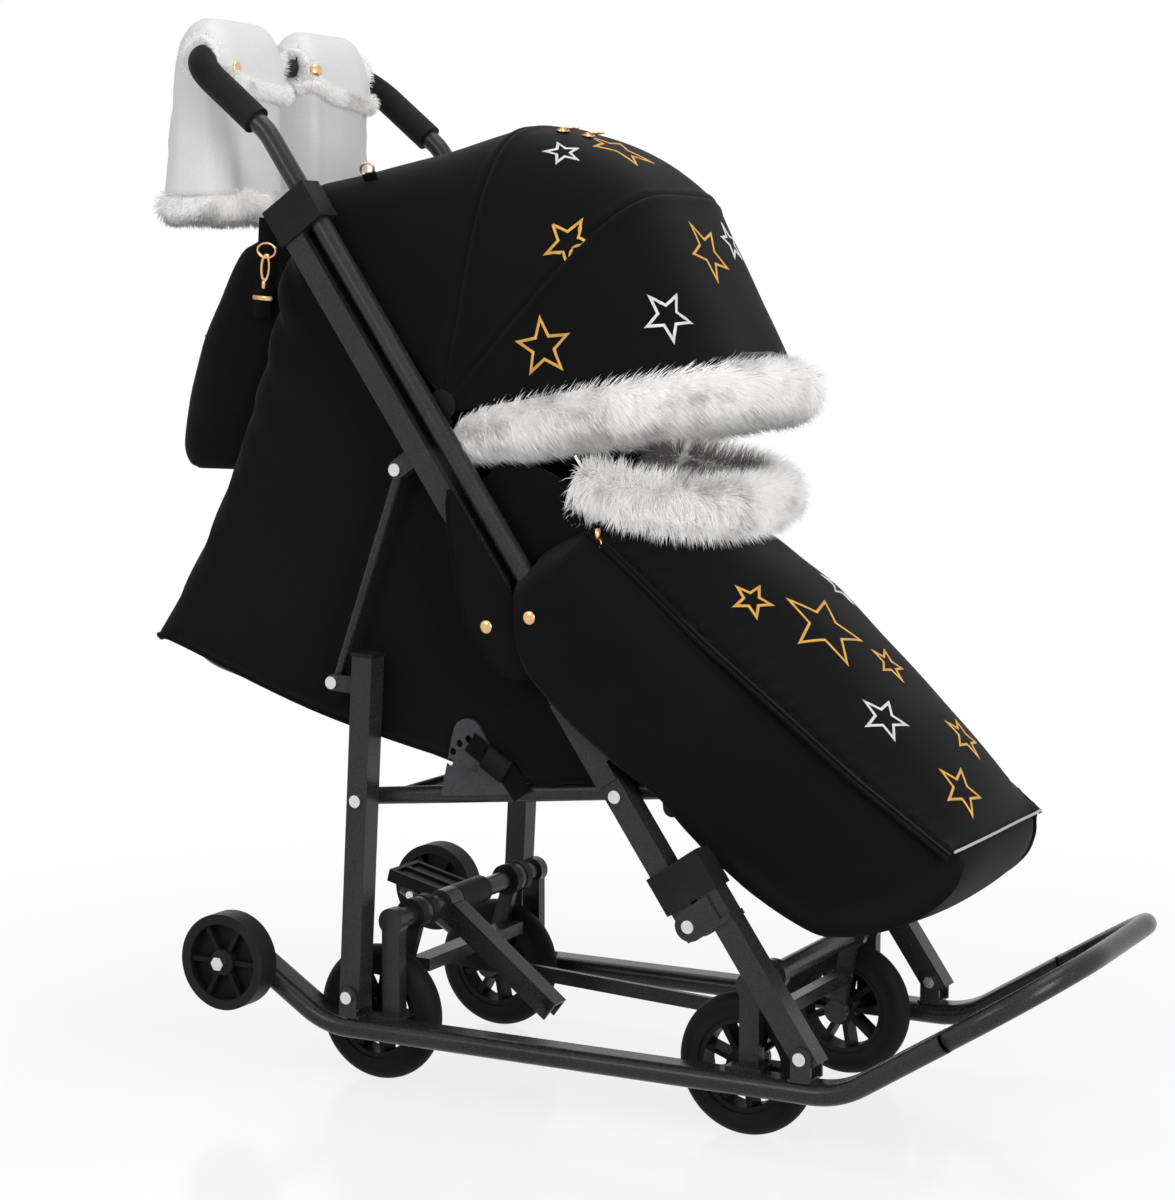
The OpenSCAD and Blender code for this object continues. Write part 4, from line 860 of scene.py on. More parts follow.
# Fur roll along the front bow
furSpec = {"long": 25, "width": 0.5, "stand": 0.6, "lean": 0.8, "tuft": 0.16, "stray": 0.12, "droop": 0.3,
           "clump": 13}
hoodFur = {"half": 148, "start": 3, "reach": 302, "bend": 125, "below": 38.8, "core": 25, "strands": 30000,
           "endThin": 0.5, "endShare": 0.08}


def hoopPath(half, start, reach, bend, count=120):
    turn = np.linspace(0, math.pi / 2, 20)
    corner = np.stack([reach - bend + bend * np.sin(turn), -half + bend - bend * np.cos(turn)], axis=1)
    leg = np.stack([np.linspace(start, reach - bend, 20, endpoint=False), np.full(20, -half)], axis=1)
    near = np.concatenate([leg, corner])
    return evenLine(np.concatenate([near, near[::-1] * (1, -1)]), count)


def alongTurn(flat, turn, place, below):
    ahead, down = polar(turn, 1.0), polar(turn - 90, 1.0)
    side = np.asarray(place) + flat[:, :1] * ahead + below * down
    return upright(side, flat[:, 1])


def makeHoodFur():
    flat = hoopPath(*(hoodFur[k] for k in ("half", "start", "reach", "bend")))
    path = alongTurn(flat, hood["front"][0], pivotPlace, hoodFur["below"])
    far = np.minimum(np.arange(len(path)), np.arange(len(path))[::-1]) / len(path)
    swell = hoodFur["endThin"] + (1 - hoodFur["endThin"]) * np.clip(far / hoodFur["endShare"], 0, 1) ** 0.6
    core = tubePiece("hoodFurCore", path, hoodFur["core"] * swell, furPale, 20)
    roots, outs, forward = furRoots(path, hoodFur["core"] * swell - 0.5, hoodFur["strands"], 21)
    ahead = forward * np.where(forward[:, :1] < 0, -1, 1)
    lay = 0.7 * ahead + np.array((0.25, 0, -0.8))
    low = np.clip(-outs[:, 2] * 1.6 - 0.25, 0, 1)  # painted shade under the roll: strands that face down are darker, their tips most
    tones, tips = 1 - 0.3 * low, 1 - 0.85 * low
    strands = furPiece("hoodFurStrands", roots, outs, lay, furSpec, furPale, 22, tones, tips)
    # The core is darker than the strands: painted shade deep in the roll
    setTone(core, 0.8)
    return joinPieces("hoodFur", [core, strands])


fur = finishPiece(makeHoodFur(), "hood_edge", ["hood_fur"])
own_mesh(fur)
print("hood fur made")

# Rear tent: one skirt round the back, with a hem
tent = {
    "half": 159.2, "top": (-85.6, 924.4), "back": (-99.6, 920.4), "rear": (-290, 476), "low": (192, 355.2),
    "front": (298.0, 359.3), "hollow": 112, "sag": 9, "cornerTop": 8, "cornerGrowth": 30, "cornerRound": 0.3,
    "thick": 2.2, "hem": 3.0, "creaseSize": 120, "crease": 2.6, "sideBand": 30, "sideCrease": 0.35,
    "foldedDepth": 0.6,
}
tubeLine = {"foot": (405.8, 225.8), "lean": 34.25}
tubeFoot = np.array(tubeLine["foot"])
tubeWay, tubeAhead = polar(90 + tubeLine["lean"], 1.0), polar(tubeLine["lean"], 1.0)


def tentGrid():
    top, back, rear, low, front = (np.array(tent[k]) for k in ("top", "back", "rear", "low", "front"))
    w, bend = tent["half"], tent["cornerRound"]
    rows = []
    for t in np.linspace(0.0, 1, 9):
        f, m = top + (front - top) * t, top + (low - top) * t
        r = back + (rear - back) * t + np.array((tent["hollow"] * t * (1 - t), 0))
        c = tent["cornerTop"] + tent["cornerGrowth"] * t
        ahead, sag = np.array((c, 0)), np.array((0, tent["sag"] * t))
        side = [(f, w), ((f + m) / 2, w), (m, w), ((m + r) / 2 - sag, w), (r + ahead, w),
                (r + ahead * bend, w - c * bend), (r, w - c), (r, w * 0.4), (r, 0)]
        near = [(p[0], -y, p[1]) for p, y in side]
        rows.append(near + [(x, -y, z) for x, y, z in near[:-1][::-1]])
    grid = smoothLine(np.stack([evenLine(smoothLine(row, 120), 90) for row in rows]), 48)
    n = gridNormals(grid, (0, 0, 600))
    fall = np.linspace(0, 1, len(grid))[:, None]
    calm = np.where(np.abs(grid[..., 1]) > w - tent["sideBand"], tent["sideCrease"], 1.0)
    soft = creases(grid * (1, 1, 0.35), tent["creaseSize"], tent["crease"], 31) * fall * calm
    return grid - n * np.abs(soft)[..., None]


# What hangs behind the tubes gets a mesh of its own
def squashInFold(piece):
    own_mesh(piece)


tentCloth = tentGrid()
rearTent = gridPiece("rearTent", tentCloth, softshell, thick=tent["thick"])
tentHem = tubePiece("tentHem", tentCloth[-1] + np.array((0, 0, -1.0)), tent["hem"], webbing, 8)
for piece in (rearTent, tentHem):
    finishPiece(piece, "upper_frame", ["rear_tent"])
    squashInFold(piece)
declareSheet(rearTent, tentCloth)
print("tent made")

# Inner side walls of the seat cover, between the tubes and the footmuff
wall = {"inside": 154, "edge": [(205, 498), (262, 570), (268, 610), (256, 652), (225, 676), (172, 690)],
        "tube": [(300, 402), (128, 652)], "thick": 1.8, "creaseSize": 60, "crease": 1.2}
sides = {"right": -1, "left": 1}


def makeWall(name, side):
    front = evenLine(smoothLine(wall["edge"], 60), 30)
    low, high = np.array(wall["tube"])
    back = low + np.linspace(0, 1, 30)[:, None] * (high - low)
    flat = back[:, None] + (front - back)[:, None] * np.linspace(0, 1, 14)[None, :, None]
    y = wall["inside"] + creases(upright(flat, 0), wall["creaseSize"], wall["crease"], 43)
    grid = upright(flat, side * y)
    cloth = gridPiece(name, grid, softshell, flip=side > 0, thick=wall["thick"])
    finishPiece(cloth, "upper_frame")
    declareSheet(cloth, grid)


for sideName, side in sides.items():
    makeWall(sideName + "Wall", side)

# Side flaps: cloth of the seat cover folded round the tubes. The edge is along and ahead of the tube
flap = {"front": 15, "thick": 2.4, "bulge": 3.0, "sunk": 2.2, "round": 30, "hem": 1.7,
        "creaseSize": 50, "crease": 0.6,
        "edge": [(514, 12), (500, 0), (462, -21), (400, -47), (355, -50), (322, -42), (303, -18), (299, 12)]}


def makeFlap(name, side):
    edge = evenLine(smoothLine(flap["edge"], 80), 40)
    ahead = flap["front"] + (edge[:, 1:] - flap["front"]) * np.linspace(0, 1, 14)
    along = np.broadcast_to(edge[:, :1], ahead.shape)
    place = tubeFoot + np.multiply.outer(along, tubeWay) + np.multiply.outer(ahead, tubeAhead)
    rise = flap["bulge"] * np.cos(np.clip(ahead / flap["round"], -1.5, 1.5)) - flap["sunk"]
    out = -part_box("side_flaps")[0].y * 1000
    y = out + rise + creases(upright(place, 0), flap["creaseSize"], flap["crease"], 41)
    grid = upright(place, side * y)
    cloth = gridPiece(name, grid, softshell, flip=side > 0, thick=flap["thick"])
    hem = tubePiece(name + "Hem", grid[:, -1], flap["hem"], webbing, 8)
    finishPiece(cloth, "upper_frame", ["side_flaps"])
    finishPiece(hem, "upper_frame")
    declareSheet(cloth, grid)


for sideName, side in sides.items():
    makeFlap(sideName + "Flap", side)
print("flaps made")

# Footmuff: two side panels, an underside and a top panel with zips between
footmuff = {
    "thick": 4.0, "zip": [(277, 619), (340, 566), (402, 513), (486, 448), (567, 384), (662, 313)],
    "crown": [(322, 640), (408, 590), (466, 550), (553, 466), (612, 409), (653, 357), (667, 316)],
    "back": [(209.7, 578.2), (222, 592), (244.9, 605.4), (277, 619)],
    "under": [(209.7, 578.2), (207.2, 547.2), (215.3, 485.6), (262.1, 431.8), (353.9, 361.9), (390.7, 317.5),
              (447, 261.2), (513.3, 222.1), (545.8, 218.6), (577.9, 224.2), (619.9, 240.8), (650.9, 266.9),
              (662.9, 292.9), (662, 313)],
    "sides": [(200, 199), (330, 197), (400, 181), (460, 168), (500, 162), (560, 154), (610, 146), (650, 138),
              (668, 131)],
    "zipHalf": [(277, 157), (340, 155), (402, 154), (486, 151), (567, 147), (662, 134)],
    "underFrom": 352, "underSag": 5.0, "topRound": 26, "footRound": 30, "tuck": 4, "tuckAhead": 16,
    "puff": 7.0, "puffFrom": 330, "puffOver": 110, "ruffle": 1.5, "ruffleLong": 22, "ruffleDeep": 22,
    "lip": 2.5,
    "blendFrom": (366, 0, 337), "blendTo": (560, 0, 260),
}


# Half width of the footmuff at a place along it, from one of its lists
def halfAt(key, x):
    return np.interp(x, *np.array(footmuff[key]).T)


def puffShare(x):
    return np.clip((x - footmuff["puffFrom"]) / footmuff["puffOver"], 0, 1)


def sidePanel(side):
    upper = np.concatenate([smoothLine(footmuff["back"], 30)[:-1], smoothLine(footmuff["zip"], 120)])
    upper = evenLine(upper, 110)
    lower = evenLine(smoothLine(footmuff["under"], 200), 110)
    share = np.linspace(0, 1, 40)
    flat = upper[:, None] + (lower - upper)[:, None] * share[None, :, None]
    x = flat[..., 0]
    tall = np.linalg.norm(lower - upper, axis=1)[:, None]
    top = np.exp(-(share[None] * tall / footmuff["topRound"]) ** 2)
    foot = np.exp(-((1 - share[None]) * tall / footmuff["footRound"]) ** 2)
    ahead, half = puffShare(x), halfAt("sides", x)
    y = half - (half - halfAt("zipHalf", x)) * top - foot * (footmuff["tuck"] + footmuff["tuckAhead"] * ahead)
    y = y + ahead * footmuff["puff"] * (np.sin(math.pi * share[None]) - 1)
    y = y + creases(np.stack([x, flat[..., 1] * 1.6, y * 0], axis=2), 95, 1.3, 51)
    return upright(flat, side * y)


def topPanel():
    edge = evenLine(smoothLine(footmuff["zip"], 120), 90)
    crown = evenLine(smoothLine(footmuff["crown"], 120), 90)
    across = np.linspace(-1, 1, 61)
    bow = (1 - np.abs(across) ** 2.4)[None, :, None]
    half = (halfAt("zipHalf", edge[:, 0]) - 5)[:, None]
    grid = upright(edge[:, None] + (crown - edge)[:, None] * bow, half * squared(across, 0.92)[None])
    n = gridNormals(grid, (430, 0, 250))
    far = farAlong(edge)[:, None]
    near = np.exp(-((1 - np.abs(across)) * 150 / footmuff["ruffleDeep"]) ** 2)[None]
    wave = np.sin(far / footmuff["ruffleLong"] * 2 * math.pi + 2 * np.sin(far / 60))
    rise = (footmuff["ruffle"] * wave + footmuff["lip"]) * near + creases(grid, 120, 2.0, 52) * (1 - near)
    return grid + n * rise[..., None]


def underPanel():
    lower = evenLine(smoothLine(footmuff["under"], 200), 110)[40:]
    lower = lower[lower[:, 0] > footmuff["underFrom"]]
    across = np.linspace(-1, 1, 41)
    x = lower[:, 0]
    half = halfAt("sides", x) - footmuff["tuck"] - (footmuff["tuckAhead"] + footmuff["puff"]) * puffShare(x)
    grid = upright(np.repeat(lower[:, None], len(across), axis=1), half[:, None] * across)
    n = gridNormals(grid, (480, 0, 380))
    sag = (1 - across ** 4)[None] * footmuff["underSag"] + creases(grid, 110, 1.2, 53)
    return grid + n * sag[..., None]


nearSide, farSide, topCloth, underCloth = sidePanel(-1), sidePanel(1), topPanel(), underPanel()
muffSideNear, muffSideFar, muffTop, muffUnder = (
    gridPiece("footmuff" + name, grid, softshell, flip=flip, thick=footmuff["thick"])
    for name, grid, flip in (("Right", nearSide, True), ("Left", farSide, False), ("Top", topCloth, True),
                             ("Under", underCloth, False)))
bpy.context.view_layer.update()
muffStars = [((752, 600), 25, -36, 0, 0), ((826, 627), 52, -30, 0, 0), ((838, 588), 27, -20, 1, 0),
             ((889, 664), 26, -30, 0, 0), ((885, 718), 30, -32, 1, 0), ((964, 737), 30, -30, 0, 0),
             ((962, 790), 34, -28, 0, 0)]
topStars = sewStars("footmuff", surfaceOf(muffTop), muffStars)
zipSize = {"tape": 13, "tapeThick": 1.2, "tooth": 1.4, "toothWave": 0.35, "teeth": 700, "fold": 2.2,
           "foldAside": 7.0}


# Zip between two cloth edges: tape, a row of coil teeth and a turned cloth edge
def zipPieces(name, side):
    edge = evenLine(smoothLine(footmuff["zip"], 120), 120)
    line = upright(edge, side * (halfAt("zipHalf", edge[:, 0]) + 1))
    out = np.array((0.45, side * 0.62, 0.62))
    across = np.cross(unitRows(np.gradient(line, axis=0)), out)
    tape = strapPiece(name + "Tape", line - out * 1.5, zipSize["tape"], zipSize["tapeThick"], across, webbing)
    count = zipSize["teeth"]
    coil = zipSize["tooth"] + zipSize["toothWave"] * np.sin(np.arange(count) * 2.1)
    teeth = tubePiece(name + "Teeth", evenLine(line, count) - out * 0.4, coil, plastic, 8)
    foldLine = line + out * 1.2 - across * side * zipSize["foldAside"]
    fold = tubePiece(name + "Fold", foldLine, zipSize["fold"], softshell, 8, flat=0.7)
    return joinPieces(name, [tape, teeth, fold])


zips = [zipPieces(sideName + "Zip", side) for sideName, side in sides.items()]
piping = tubePiece("toePiping", topCloth[-1] + (1.2, 0, 0.8), 1.5, binding, 8)
topEdge = tubePiece("footmuffEdge", topCloth[0] + np.array((-2, 0, 1.0)), 4.0, softshell, 10)
for piece in [muffSideNear, muffSideFar, muffTop, muffUnder, topStars, piping, topEdge] + zips:
    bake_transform(piece)
for piece in (muffSideNear, muffSideFar, muffTop, muffUnder):
    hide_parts("footmuff")
declareSheet(muffSideNear, nearSide)
declareSheet(muffSideFar, farSide)
declareSheet(muffTop, topCloth)
declareSheet(muffUnder, underCloth)
print("footmuff made")

# Fur collar at the mouth of the footmuff, whose far end runs further back and higher
collar = {"place": (250, 661.2), "turn": -10, "half": 134, "start": 0, "reach": 134, "bend": 90, "core": 21,
          "strands": 20000, "farBack": 48, "farRise": 10, "farThin": 5, "farIn": 6, "middle": (300, 0, 640.0)}
collarSpec = dict(furSpec, long=25, lean=0.5, tuft=0.25, stand=0.8)


def makeCollar():
    flat = hoopPath(*(collar[k] for k in ("half", "start", "reach", "bend")), 90)
    farEnd = [(-collar["farBack"] * k / 12, collar["half"] - collar["farIn"]) for k in range(1, 13)]
    path = alongTurn(np.concatenate([flat, farEnd]), collar["turn"], collar["place"], 0)
    farShare = np.clip(path[:, 1] / collar["half"], 0, 1)
    path[:, 2] += collar["farRise"] * farShare
    thickness = collar["core"] - collar["farThin"] * farShare
    core = tubePiece("collarCore", path, thickness, furPale, 18)
    roots, outs, _ = furRoots(path, thickness - 0.5, collar["strands"], 61)
    middle = np.array(collar["middle"])
    inward = np.sum(outs * unitRows(middle - roots), axis=1)
    lay = unitRows(roots - middle) * (1, 1, 0) + np.array((0.3, 0, -0.6))
    # Painted shade: strands that face into the collar's hollow are darker
    tones = np.clip(1.0 - 2.2 * np.clip(inward - 0.05, 0, 1), 0.1, 1)
    strands = furPiece("collarStrands", roots, outs, lay, collarSpec, furPale, 62, tones)
    # The core is darker than the strands: painted shade deep in the pile
    setTone(core, 0.6)
    return joinPieces("footmuffCollar", [core, strands])


collarFur = finishPiece(makeCollar(), "seat", ["footmuff_collar"])
print("collar made")

# Bag on the back of the tent
# Each level is the share down, how far its back is drawn in, its gap to the tent and its share of the width
bag = {"top": 925, "tall": 261, "wide": 212, "rear": -293, "corner": 0.42, "leastDeep": 8,
       "middle": (-190, 0, 800.0),
       "levels": [(0.0, 112, 12, 0.8), (0.03, 98, 8, 0.9), (0.08, 81, 6, 0.96), (0.25, 56, 2, 1.0),
                  (0.4, 36, 1.1, 1.0), (0.7, 8, 1.1, 1.0), (0.88, 1, 1.2, 0.99), (0.97, 6, 2, 0.95),
                  (1.0, 16, 8, 0.88)],
       "seamBehind": -330, "seamHigh": 846, "seamBow": 0.0004, "seamHalf": 100, "seam": 2.2}


def bagGrid():
    top, rear = np.array(tent["back"]), np.array(tent["rear"])
    turn = fullTurn(72)
    c, s = squared(np.cos(turn), bag["corner"]), squared(np.sin(turn), bag["corner"])
    rows = []
    for down, behind, ahead, wide in smoothLine(bag["levels"], 46):
        z = bag["top"] - down * bag["tall"]
        t = (top[1] - z) / (top[1] - rear[1])
        front = top[0] + (rear[0] - top[0]) * t + tent["hollow"] * t * (1 - t) - ahead
        deep = max((front - bag["rear"] - behind) / 2, bag["leastDeep"])
        rows.append(np.stack([front - deep + deep * c, wide * bag["wide"] / 2 * s, np.full(72, z)], axis=1))
    grid = np.array(rows)
    n = unitRows(grid - np.array(bag["middle"]))
    behindHalf = np.clip((grid[..., 0].mean(axis=1, keepdims=True) - grid[..., 0]) / 40, 0, 1)
    return grid + n * (creases(grid * (1, 1, 1.4), 90, 2.2, 71) * behindHalf)[..., None]


bagBody = gridPiece("bagBody", bagGrid(), softshell, wrap=True, caps=(True, True))
finishPiece(bagBody, "upper_frame", ["bag"])
bpy.context.view_layer.update()
seamAcross = np.linspace(-bag["seamHalf"], bag["seamHalf"], 40)
seamLine = [np.array((bag["seamBehind"], y, bag["seamHigh"] - bag["seamBow"] * y * y)) for y in seamAcross]
seamLine = onSurface(surfaceOf(bagBody), seamLine, 2.0)
bagSeam = finishPiece(tubePiece("bagFlapSeam", seamLine, bag["seam"], webbing, 8), "upper_frame")
for piece in (bagBody, bagSeam):
    squashInFold(piece)
print("bag made")

# Hand muffs: sleeves of white leather that hang from the handle, with folded tops and fur cuffs
# Each level is the drop from the top, half the depth and the share of the width
handMuff = {
    "centre": 88.5, "half": 64.5, "thick": 3.0, "above": 40, "behind": 6, "lean": 0.06, "squareDeep": 0.62,
    "squareWide": 0.5, "fold": 2.6, "folds": 7, "flapTurn": 78, "flapFrom": 2, "flapDrop": 64, "flapOut": 5.0,
    "flapWave": 10, "flapThick": 2.0, "trim": 4.6, "endHole": 20, "mouth": 3.4, "cuff": 12.5,
    "cuffRing": (201, 45, 0.8),
    "levels": [(0, 10, 0.72), (7, 20, 0.86), (22, 29, 0.96), (48, 36, 1.0), (90, 38.5, 1.0), (140, 42, 0.98),
               (189, 46, 0.98)],
}
bar = toMillimetres(jointAt["muff_swing"])[[0, 2]]
cuffSpec = dict(furSpec, long=12.5, lean=0.5, tuft=0.25, stand=0.8)
trimSpec = dict(furSpec, long=9, lean=0.4, tuft=0.2, stand=0.9, width=0.45)
mouthSpec = dict(trimSpec, long=7)


def muffRing(drop, deep, wide, side, out=0.0, count=72):
    turn = fullTurn(count)
    c, s = np.cos(turn), np.sin(turn)
    middle = bar[0] - handMuff["behind"] - handMuff["lean"] * drop
    x = middle + (deep + out) * squared(c, handMuff["squareDeep"])
    y = side * handMuff["centre"] + (wide * handMuff["half"] + out) * squared(s, handMuff["squareWide"])
    wave = np.sin(turn * handMuff["folds"] + 0.8 * side) * squared(c, 0.4)
    x = x + handMuff["fold"] * min(drop / 120, 1) * wave
    return np.stack([x, y, np.full(count, bar[1] + handMuff["above"] - drop)], axis=1)


def furTrim(name, path, core, count, seed, spec, lay, closed=False, flat=1.0, tones=None):
    middle = tubePiece(name + "Core", path, core, furPale, 12, closed, flat)
    roots, outs, _ = furRoots(path, core - 0.5, count, seed, closed, flat)
    shade = None if tones is None else tones(roots, outs)
    strands = furPiece(name + "Strands", roots, outs, np.array(lay, float), spec, furPale, seed + 1, shade)
    # The core is darker than the strands: painted shade deep in the pile
    setTone(middle, 0.85)
    return finishPiece(joinPieces(name, [middle, strands]), "muffs")


# Painted shade: strands that face down are darker, broken up by slow waves
def cuffUnderShade(roots, outs):
    return np.clip(1.0 - 0.8 * np.clip(-outs[:, 2] * 1.2 - 0.2 + creases(roots, 40, 0.5, 87), 0, 1), 0.15, 1)


# Cloth folded down over the front of a muff's top
def muffFlap(levels, side):
    count = 72
    reach = int(handMuff["flapTurn"] / 360 * count)
    columns = np.arange(-reach, reach + 1) % count
    wave = handMuff["flapWave"] * np.sin(np.linspace(0, math.pi, len(columns)) * 2 + 0.6)
    fall = np.linspace(0, 1, 16)
    rows = []
    for t in fall:
        drop = handMuff["flapFrom"] + (handMuff["flapDrop"] - handMuff["flapFrom"]) * t
        deep, wide = (np.interp(drop, levels[:, 0], levels[:, k]) for k in (1, 2))
        ring = muffRing(drop, deep, wide, side, 2.0 + handMuff["flapOut"] * t, count)[columns]
        ring[:, 2] += t * wave
        rows.append(ring)
    grid = np.array(rows)
    return grid + (creases(grid, 55, 1.2, 83) * fall[:, None])[..., None] * (1, 0, 0)


def makeMuff(name, side):
    levels = smoothLine(handMuff["levels"], 40)
    grid = np.array([muffRing(drop, deep, wide, side) for drop, deep, wide in levels])
    middle = np.array((bar[0], side * handMuff["centre"], bar[1] - 60))
    n = unitRows((grid - middle) * (1, 1, 0.1))
    fall = np.linspace(0, 1, len(grid))[:, None]
    grid = grid + n * (creases(grid * (1, 1, 1.5), 60, 1.6, 81) * (0.4 + fall))[..., None]
    sleeve = gridPiece(name, grid, leather, wrap=True, caps=(True, False), thick=handMuff["thick"])
    finishPiece(sleeve, "muffs", ["hand_muffs"])
    cloth = muffFlap(levels, side)
    fold = gridPiece(name + "Fold", cloth, leather, thick=handMuff["flapThick"], flip=True)
    finishPiece(fold, "muffs")
    trimPath = evenLine(cloth[-1] + (0, 0, -3.5), 60)
    trim = furTrim(name + "Trim", trimPath, handMuff["trim"], 3000, 88 + side, trimSpec, (0.3, 0, -1))
    turn, r = fullTurn(40), handMuff["endHole"]
    # Each mouth is closed by a flat disc of dark lining, which stands for the shade inside the sleeve: painted
    # shade
    holeOutline = [(r, -0.5), (r, 1.2), (r * 0.6, 1.4), (0.4, 1.5)]
    holes = []
    for end in (-1, 1):
        place = np.array((bar[0], side * handMuff["centre"] + end * (handMuff["half"] - 0.5), bar[1]))
        ring = place + r * np.stack([np.cos(turn), turn * 0, np.sin(turn)], axis=1)
        ringName = name + "Mouth%d" % (end + 1)
        fur = furTrim(ringName, ring, handMuff["mouth"], 1500, 92 + side, mouthSpec, (0, end, 0), True)
        holes.append(turnedPiece(name + "Hole%d" % (end + 1), holeOutline, place, (0, end, 0), lining, 40))
    hole = finishPiece(joinPieces(name + "Holes", holes), "muffs")
    cuffPath = muffRing(*handMuff["cuffRing"], side)
    cuff = furTrim(name + "Cuff", cuffPath, handMuff["cuff"], 11000, 84 + side, cuffSpec, (0, 0, -1), True,
                   1.3, cuffUnderShade)
    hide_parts("muff_cuffs")
    return fold


muffFolds = {sideName: makeMuff(sideName + "Muff", side) for sideName, side in sides.items()}
print("hand muffs made")

# Seat and backrest pads: crowned cushions with sewn channels
# Each place is the node that it stands for, its body and both ends
pads = {"thick": 26, "half": 132, "waist": 3, "crown": 4, "channels": 4, "dip": 4.0, "dipSharp": 160 / 9,
        "rows": 61, "around": 64, "pressure": 4.0, "frames": 20, "most": 6.0}
padPlaces = {"seatPad": ("seat_pad", "seat", (160, 372), (326, 360)),
             "backPad": ("backrest_pad", "backrest", (92, 383), (-216, 448))}


# Filling: cloth under pressure swells between the sewn channels, by no more than the given millimetres
def fillPad(pad, sewn):
    mesh = pad.data
    before = np.zeros(len(mesh.vertices) * 3, np.float32)
    mesh.vertices.foreach_get("co", before)
    pad.vertex_groups.new(name="sewn").add(sewn, 1.0, "REPLACE")
    filling = pad.modifiers.new("filling", "CLOTH")
    filling.settings.vertex_group_mass = "sewn"
    filling.settings.use_pressure = True
    filling.settings.uniform_pressure_force = pads["pressure"]
    filling.settings.effector_weights.gravity = 0
    filling.collision_settings.use_collision = False
    for step in range(1, pads["frames"] + 1):
        scene.frame_set(step)
    shape = pad.evaluated_get(bpy.context.evaluated_depsgraph_get()).data
    after = np.zeros_like(before)
    shape.vertices.foreach_get("co", after)
    pad.modifiers.remove(filling)
    scene.frame_set(1)
    move = (after - before).reshape(-1, 3)
    far = np.maximum(np.linalg.norm(move, axis=1, keepdims=True), 1e-9)
    move = move * np.minimum(1, pads["most"] / 1000 / far)
    mesh.vertices.foreach_set("co", (before.reshape(-1, 3) + move).astype(np.float32).ravel())
    mesh.update()
    swell = float(np.linalg.norm(move, axis=1).mean() * 1000)
    print("pad filled", pad.name, "mean swell mm", round(swell, 2))


def makePad(name, node, body, start, end):
    start, end = np.array(start, float), np.array(end, float)
    ahead = unitRows(end - start)
    up = np.array((-ahead[1], ahead[0]))
    if up[1] < 0:
        up = -up
    rows, around, channels, half = (pads[k] for k in ("rows", "around", "channels", "half"))
    turn = fullTurn(around)
    s = np.sin(turn)
    rings = []
    for u in np.linspace(-1, 1, rows):
        full = (1 - np.abs(u) ** 5) ** 0.4
        share = (u + 1) / 2
        dip = pads["dip"] * sum(math.exp(-((share - k / channels) * pads["dipSharp"]) ** 2)
                                for k in range(1, channels))
        wide = (half - pads["waist"] * (1 - u * u)) * squared(np.cos(turn), 0.45)
        tall = pads["thick"] / 2 * full * squared(s, 0.6)
        crown = np.where(s > 0, (pads["crown"] * np.cos(wide / half * 1.5) - dip) * full, 0)
        side = start + (end - start) * share + np.multiply.outer(tall + crown + pads["thick"] / 2, up)
        rings.append(upright(side, wide))
    pad = gridPiece(name, np.array(rings), lining, wrap=True, caps=(True, True))
    sewnRows = [int(round((rows - 1) * k / channels)) for k in range(channels + 1)]
    under = [i * around + j for i in range(rows) for j in range(around // 2 + 1, around)]
    fillPad(pad, under + [i * around + j for i in sewnRows for j in range(around)])
    soft = pad.modifiers.new("soft", "SUBSURF")
    soft.levels = soft.render_levels = 1
    finishPiece(pad, body, [node])


for padName, padPlace in padPlaces.items():
    makePad(padName, *padPlace)
print("pads made")

# Small hardware: snaps, rings, pullers and straps
hardware = {"snap": 6.5, "ring": 1.5, "strap": 24, "webThick": 2.0}


def straight(start, way, shares):
    return np.stack([start + way * t for t in shares])


def snap(name, piece, pixel, body, mirrored=False):
    place, normal = pixelHit(surfaceOf(piece), pixel)
    if place is None:
        print("no cloth behind", name)
        return
    r = hardware["snap"]
    outline = [(r * 1.15, -0.5), (r * 1.15, 0.6), (r, 1.4), (r * 0.75, 2.4), (r * 0.4, 2.9), (0.3, 3.0)]
    made = [turnedPiece(name, outline, place, normal, gold)]
    if mirrored:
        made.append(turnedPiece(name + "Far", outline, place * (1, -1, 1), normal * (1, -1, 1), gold))
    finishPiece(joinPieces(name, made), body)


def wireRing(name, place, across, along, wide, tall, thick=hardware["ring"]):
    turn = fullTurn(40)[:, None]
    across, along = (unitRows(np.asarray(v, float)) for v in (across, along))
    path = np.asarray(place) + np.cos(turn) * wide * across + np.sin(turn) * tall * along
    return tubePiece(name, path, thick, gold, 10, True)


snap("rightMuffSnap", muffFolds["right"], (237, 68), "muffs")
snap("leftMuffSnap", muffFolds["left"], (316, 70), "muffs")
bpy.context.view_layer.update()
snap("flapSnap", bpy.data.objects["rightFlap"], (486, 627), "upper_frame", True)
snap("footmuffSnap", muffSideNear, (529, 618), "seat", True)


# Zip slider and puller at the top of each footmuff zip
def zipPuller(name, side):
    x, z = footmuff["zip"][0]
    place = np.array((x + 8, side * (halfAt("zipHalf", x) + 4), z - 4.0))
    down = np.array((0.12, side * 0.12, -1.0))
    sliderLine = np.stack([place + (0, 0, 6), place + (0.5, 0, -6)])
    slider = tubePiece(name + "Slider", sliderLine, 4.6, gold, 12, flat=0.6)
    ring = wireRing(name + "Ring", place + down * 9, (1, 0, 0), down, 3.4, 4.6, 0.9)
    pull = strapPiece(name + "Pull", straight(place, down, np.linspace(12, 36, 8)), 6.4, 1.6, (1, 0, 0), gold)
    return joinPieces(name, [slider, ring, pull])


for sideName, side in sides.items():
    finishPiece(zipPuller(sideName + "Puller", side), "seat")

# Bag straps with snap hooks at both sides
bagStrap = {"low": (262, 318), "high": (268, 222), "hook": (266, 264), "side": 112}


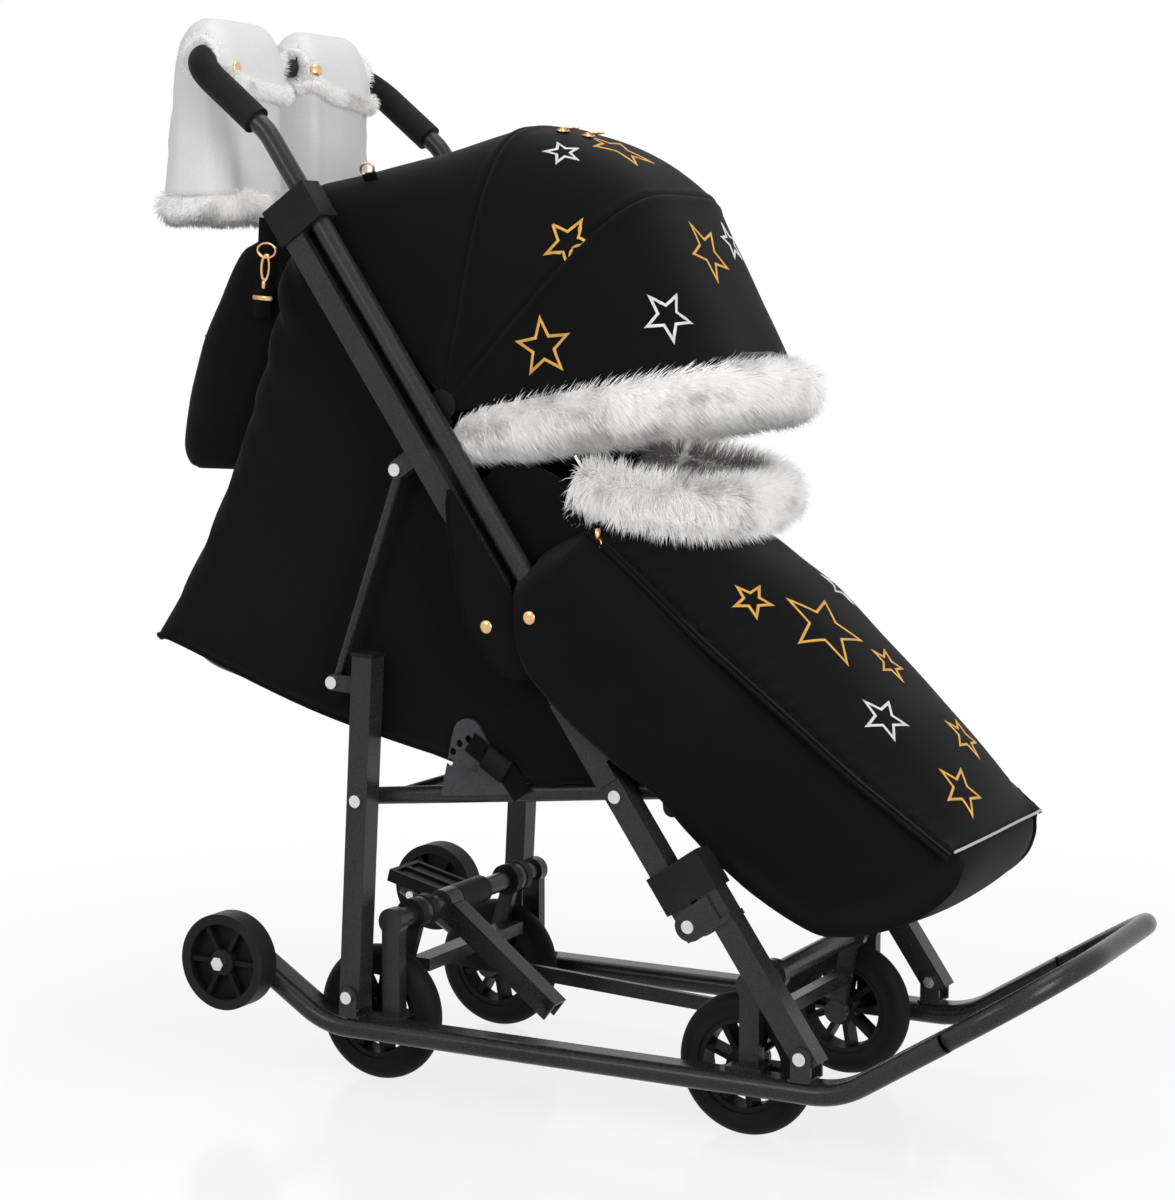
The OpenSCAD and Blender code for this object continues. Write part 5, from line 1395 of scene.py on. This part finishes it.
def bagHook(name, side):
    low, high, middle = (pixelOnSide(bagStrap[k], -bagStrap["side"]) for k in ("low", "high", "hook"))
    way = unitRows(high - low)
    across = np.cross(way, (0, 1, 0))
    wide, thick = hardware["strap"], hardware["webThick"]
    tabLine = straight(low, middle - low, np.linspace(0, 0.62, 8))
    topLine = straight(middle, high - middle, np.linspace(0.42, 1.1, 8))
    straps = [strapPiece(name + part, line, wide, thick, across, webbing)
              for part, line in (("Tab", tabLine), ("Top", topLine))]
    slideLine = straight(low + way * 22, across, (-13, 13))
    metal = [wireRing(name + "Ring", middle + way * 15, across, way, 12, 8),
             wireRing(name + "Hook", middle - way * 4, across, way, 5.0, 14, 1.9),
             tubePiece(name + "Swivel", straight(middle, way, (-17, -27)), 3.4, gold, 12),
             strapPiece(name + "Slide", slideLine, 5, 3.4, way, gold)]
    if side > 0:
        for piece in straps + metal:
            mirrorPiece(piece)
    for part, pieces, slot in (("Strap", straps, "softshell"), ("Hook", metal, "chrome")):
        squashInFold(finishPiece(joinPieces(name + part, pieces), "upper_frame"))


for sideName, side in sides.items():
    bagHook(sideName + "Bag", side)

# Ring on top of the hood, and the two sliders of its top zip
ringPixel, sliderPixels = (372, 180), ((563, 133), (588, 138))
place, up = pixelHit(surfaceOf(hoodRear), ringPixel)
if place is not None:
    tab = strapPiece("hoodTab", straight(place, up, np.linspace(-1, 9, 5)), 16, 3.0, (1, 0, 0.3), webbing)
    finishPiece(tab, "upper_frame")
    ring = wireRing("hoodRing", place + up * 14, (1, 0, 0.3), up, 8, 7, 1.3)
    finishPiece(ring, "upper_frame")
sliders = []
middleSurface = surfaceOf(hoodMiddle)
for k, pixel in enumerate(sliderPixels):
    place, up = pixelHit(middleSurface, pixel)
    if place is not None:
        line = straight(place + up * 2, np.array((0, 1, 0)), (-7, 7))
        sliders.append(tubePiece("slider%d" % k, line, 4.5, gold, 12, flat=0.6))
        pullPlace = place + up * 5 + (7, 0, 0)
        sliders.append(wireRing("sliderPull%d" % k, pullPlace, (1, 0, 0), (0, 1, 0), 10, 3.6, 1.2))
if sliders:
    finishPiece(joinPieces("hoodSliders", sliders), "upper_frame")

# Seat strap with its buckle, from the tent to the seat frame on each side
seatStrap = {"line": [(470, 742), (488, 757), (506, 772), (522, 796)], "side": 164, "across": (0.6, 0, 0.8),
             "blockWide": 27, "blockThick": 8, "blockEnds": (-15, -13, 13, 15), "blockOut": (0, 1.5, 0)}


def makeStrap(name, side):
    line = smoothLine([pixelOnSide(p, -seatStrap["side"]) for p in seatStrap["line"]], 16)
    across = seatStrap["across"]
    web = strapPiece(name + "Web", line, hardware["strap"], hardware["webThick"], across, webbing)
    place = (line[7] + line[8]) / 2 - seatStrap["blockOut"]
    blockLine = straight(place, unitRows(line[9] - line[6]), seatStrap["blockEnds"])
    wide, thick = seatStrap["blockWide"], seatStrap["blockThick"]
    block = strapPiece(name + "Block", blockLine, wide, thick, across, plastic)
    for piece, slot in ((web, "softshell"), (block, "plastic")):
        if side > 0:
            mirrorPiece(piece)
        finishPiece(piece, "seat")


for sideName, side in sides.items():
    makeStrap(sideName + "Strap", side)
print("hardware made")
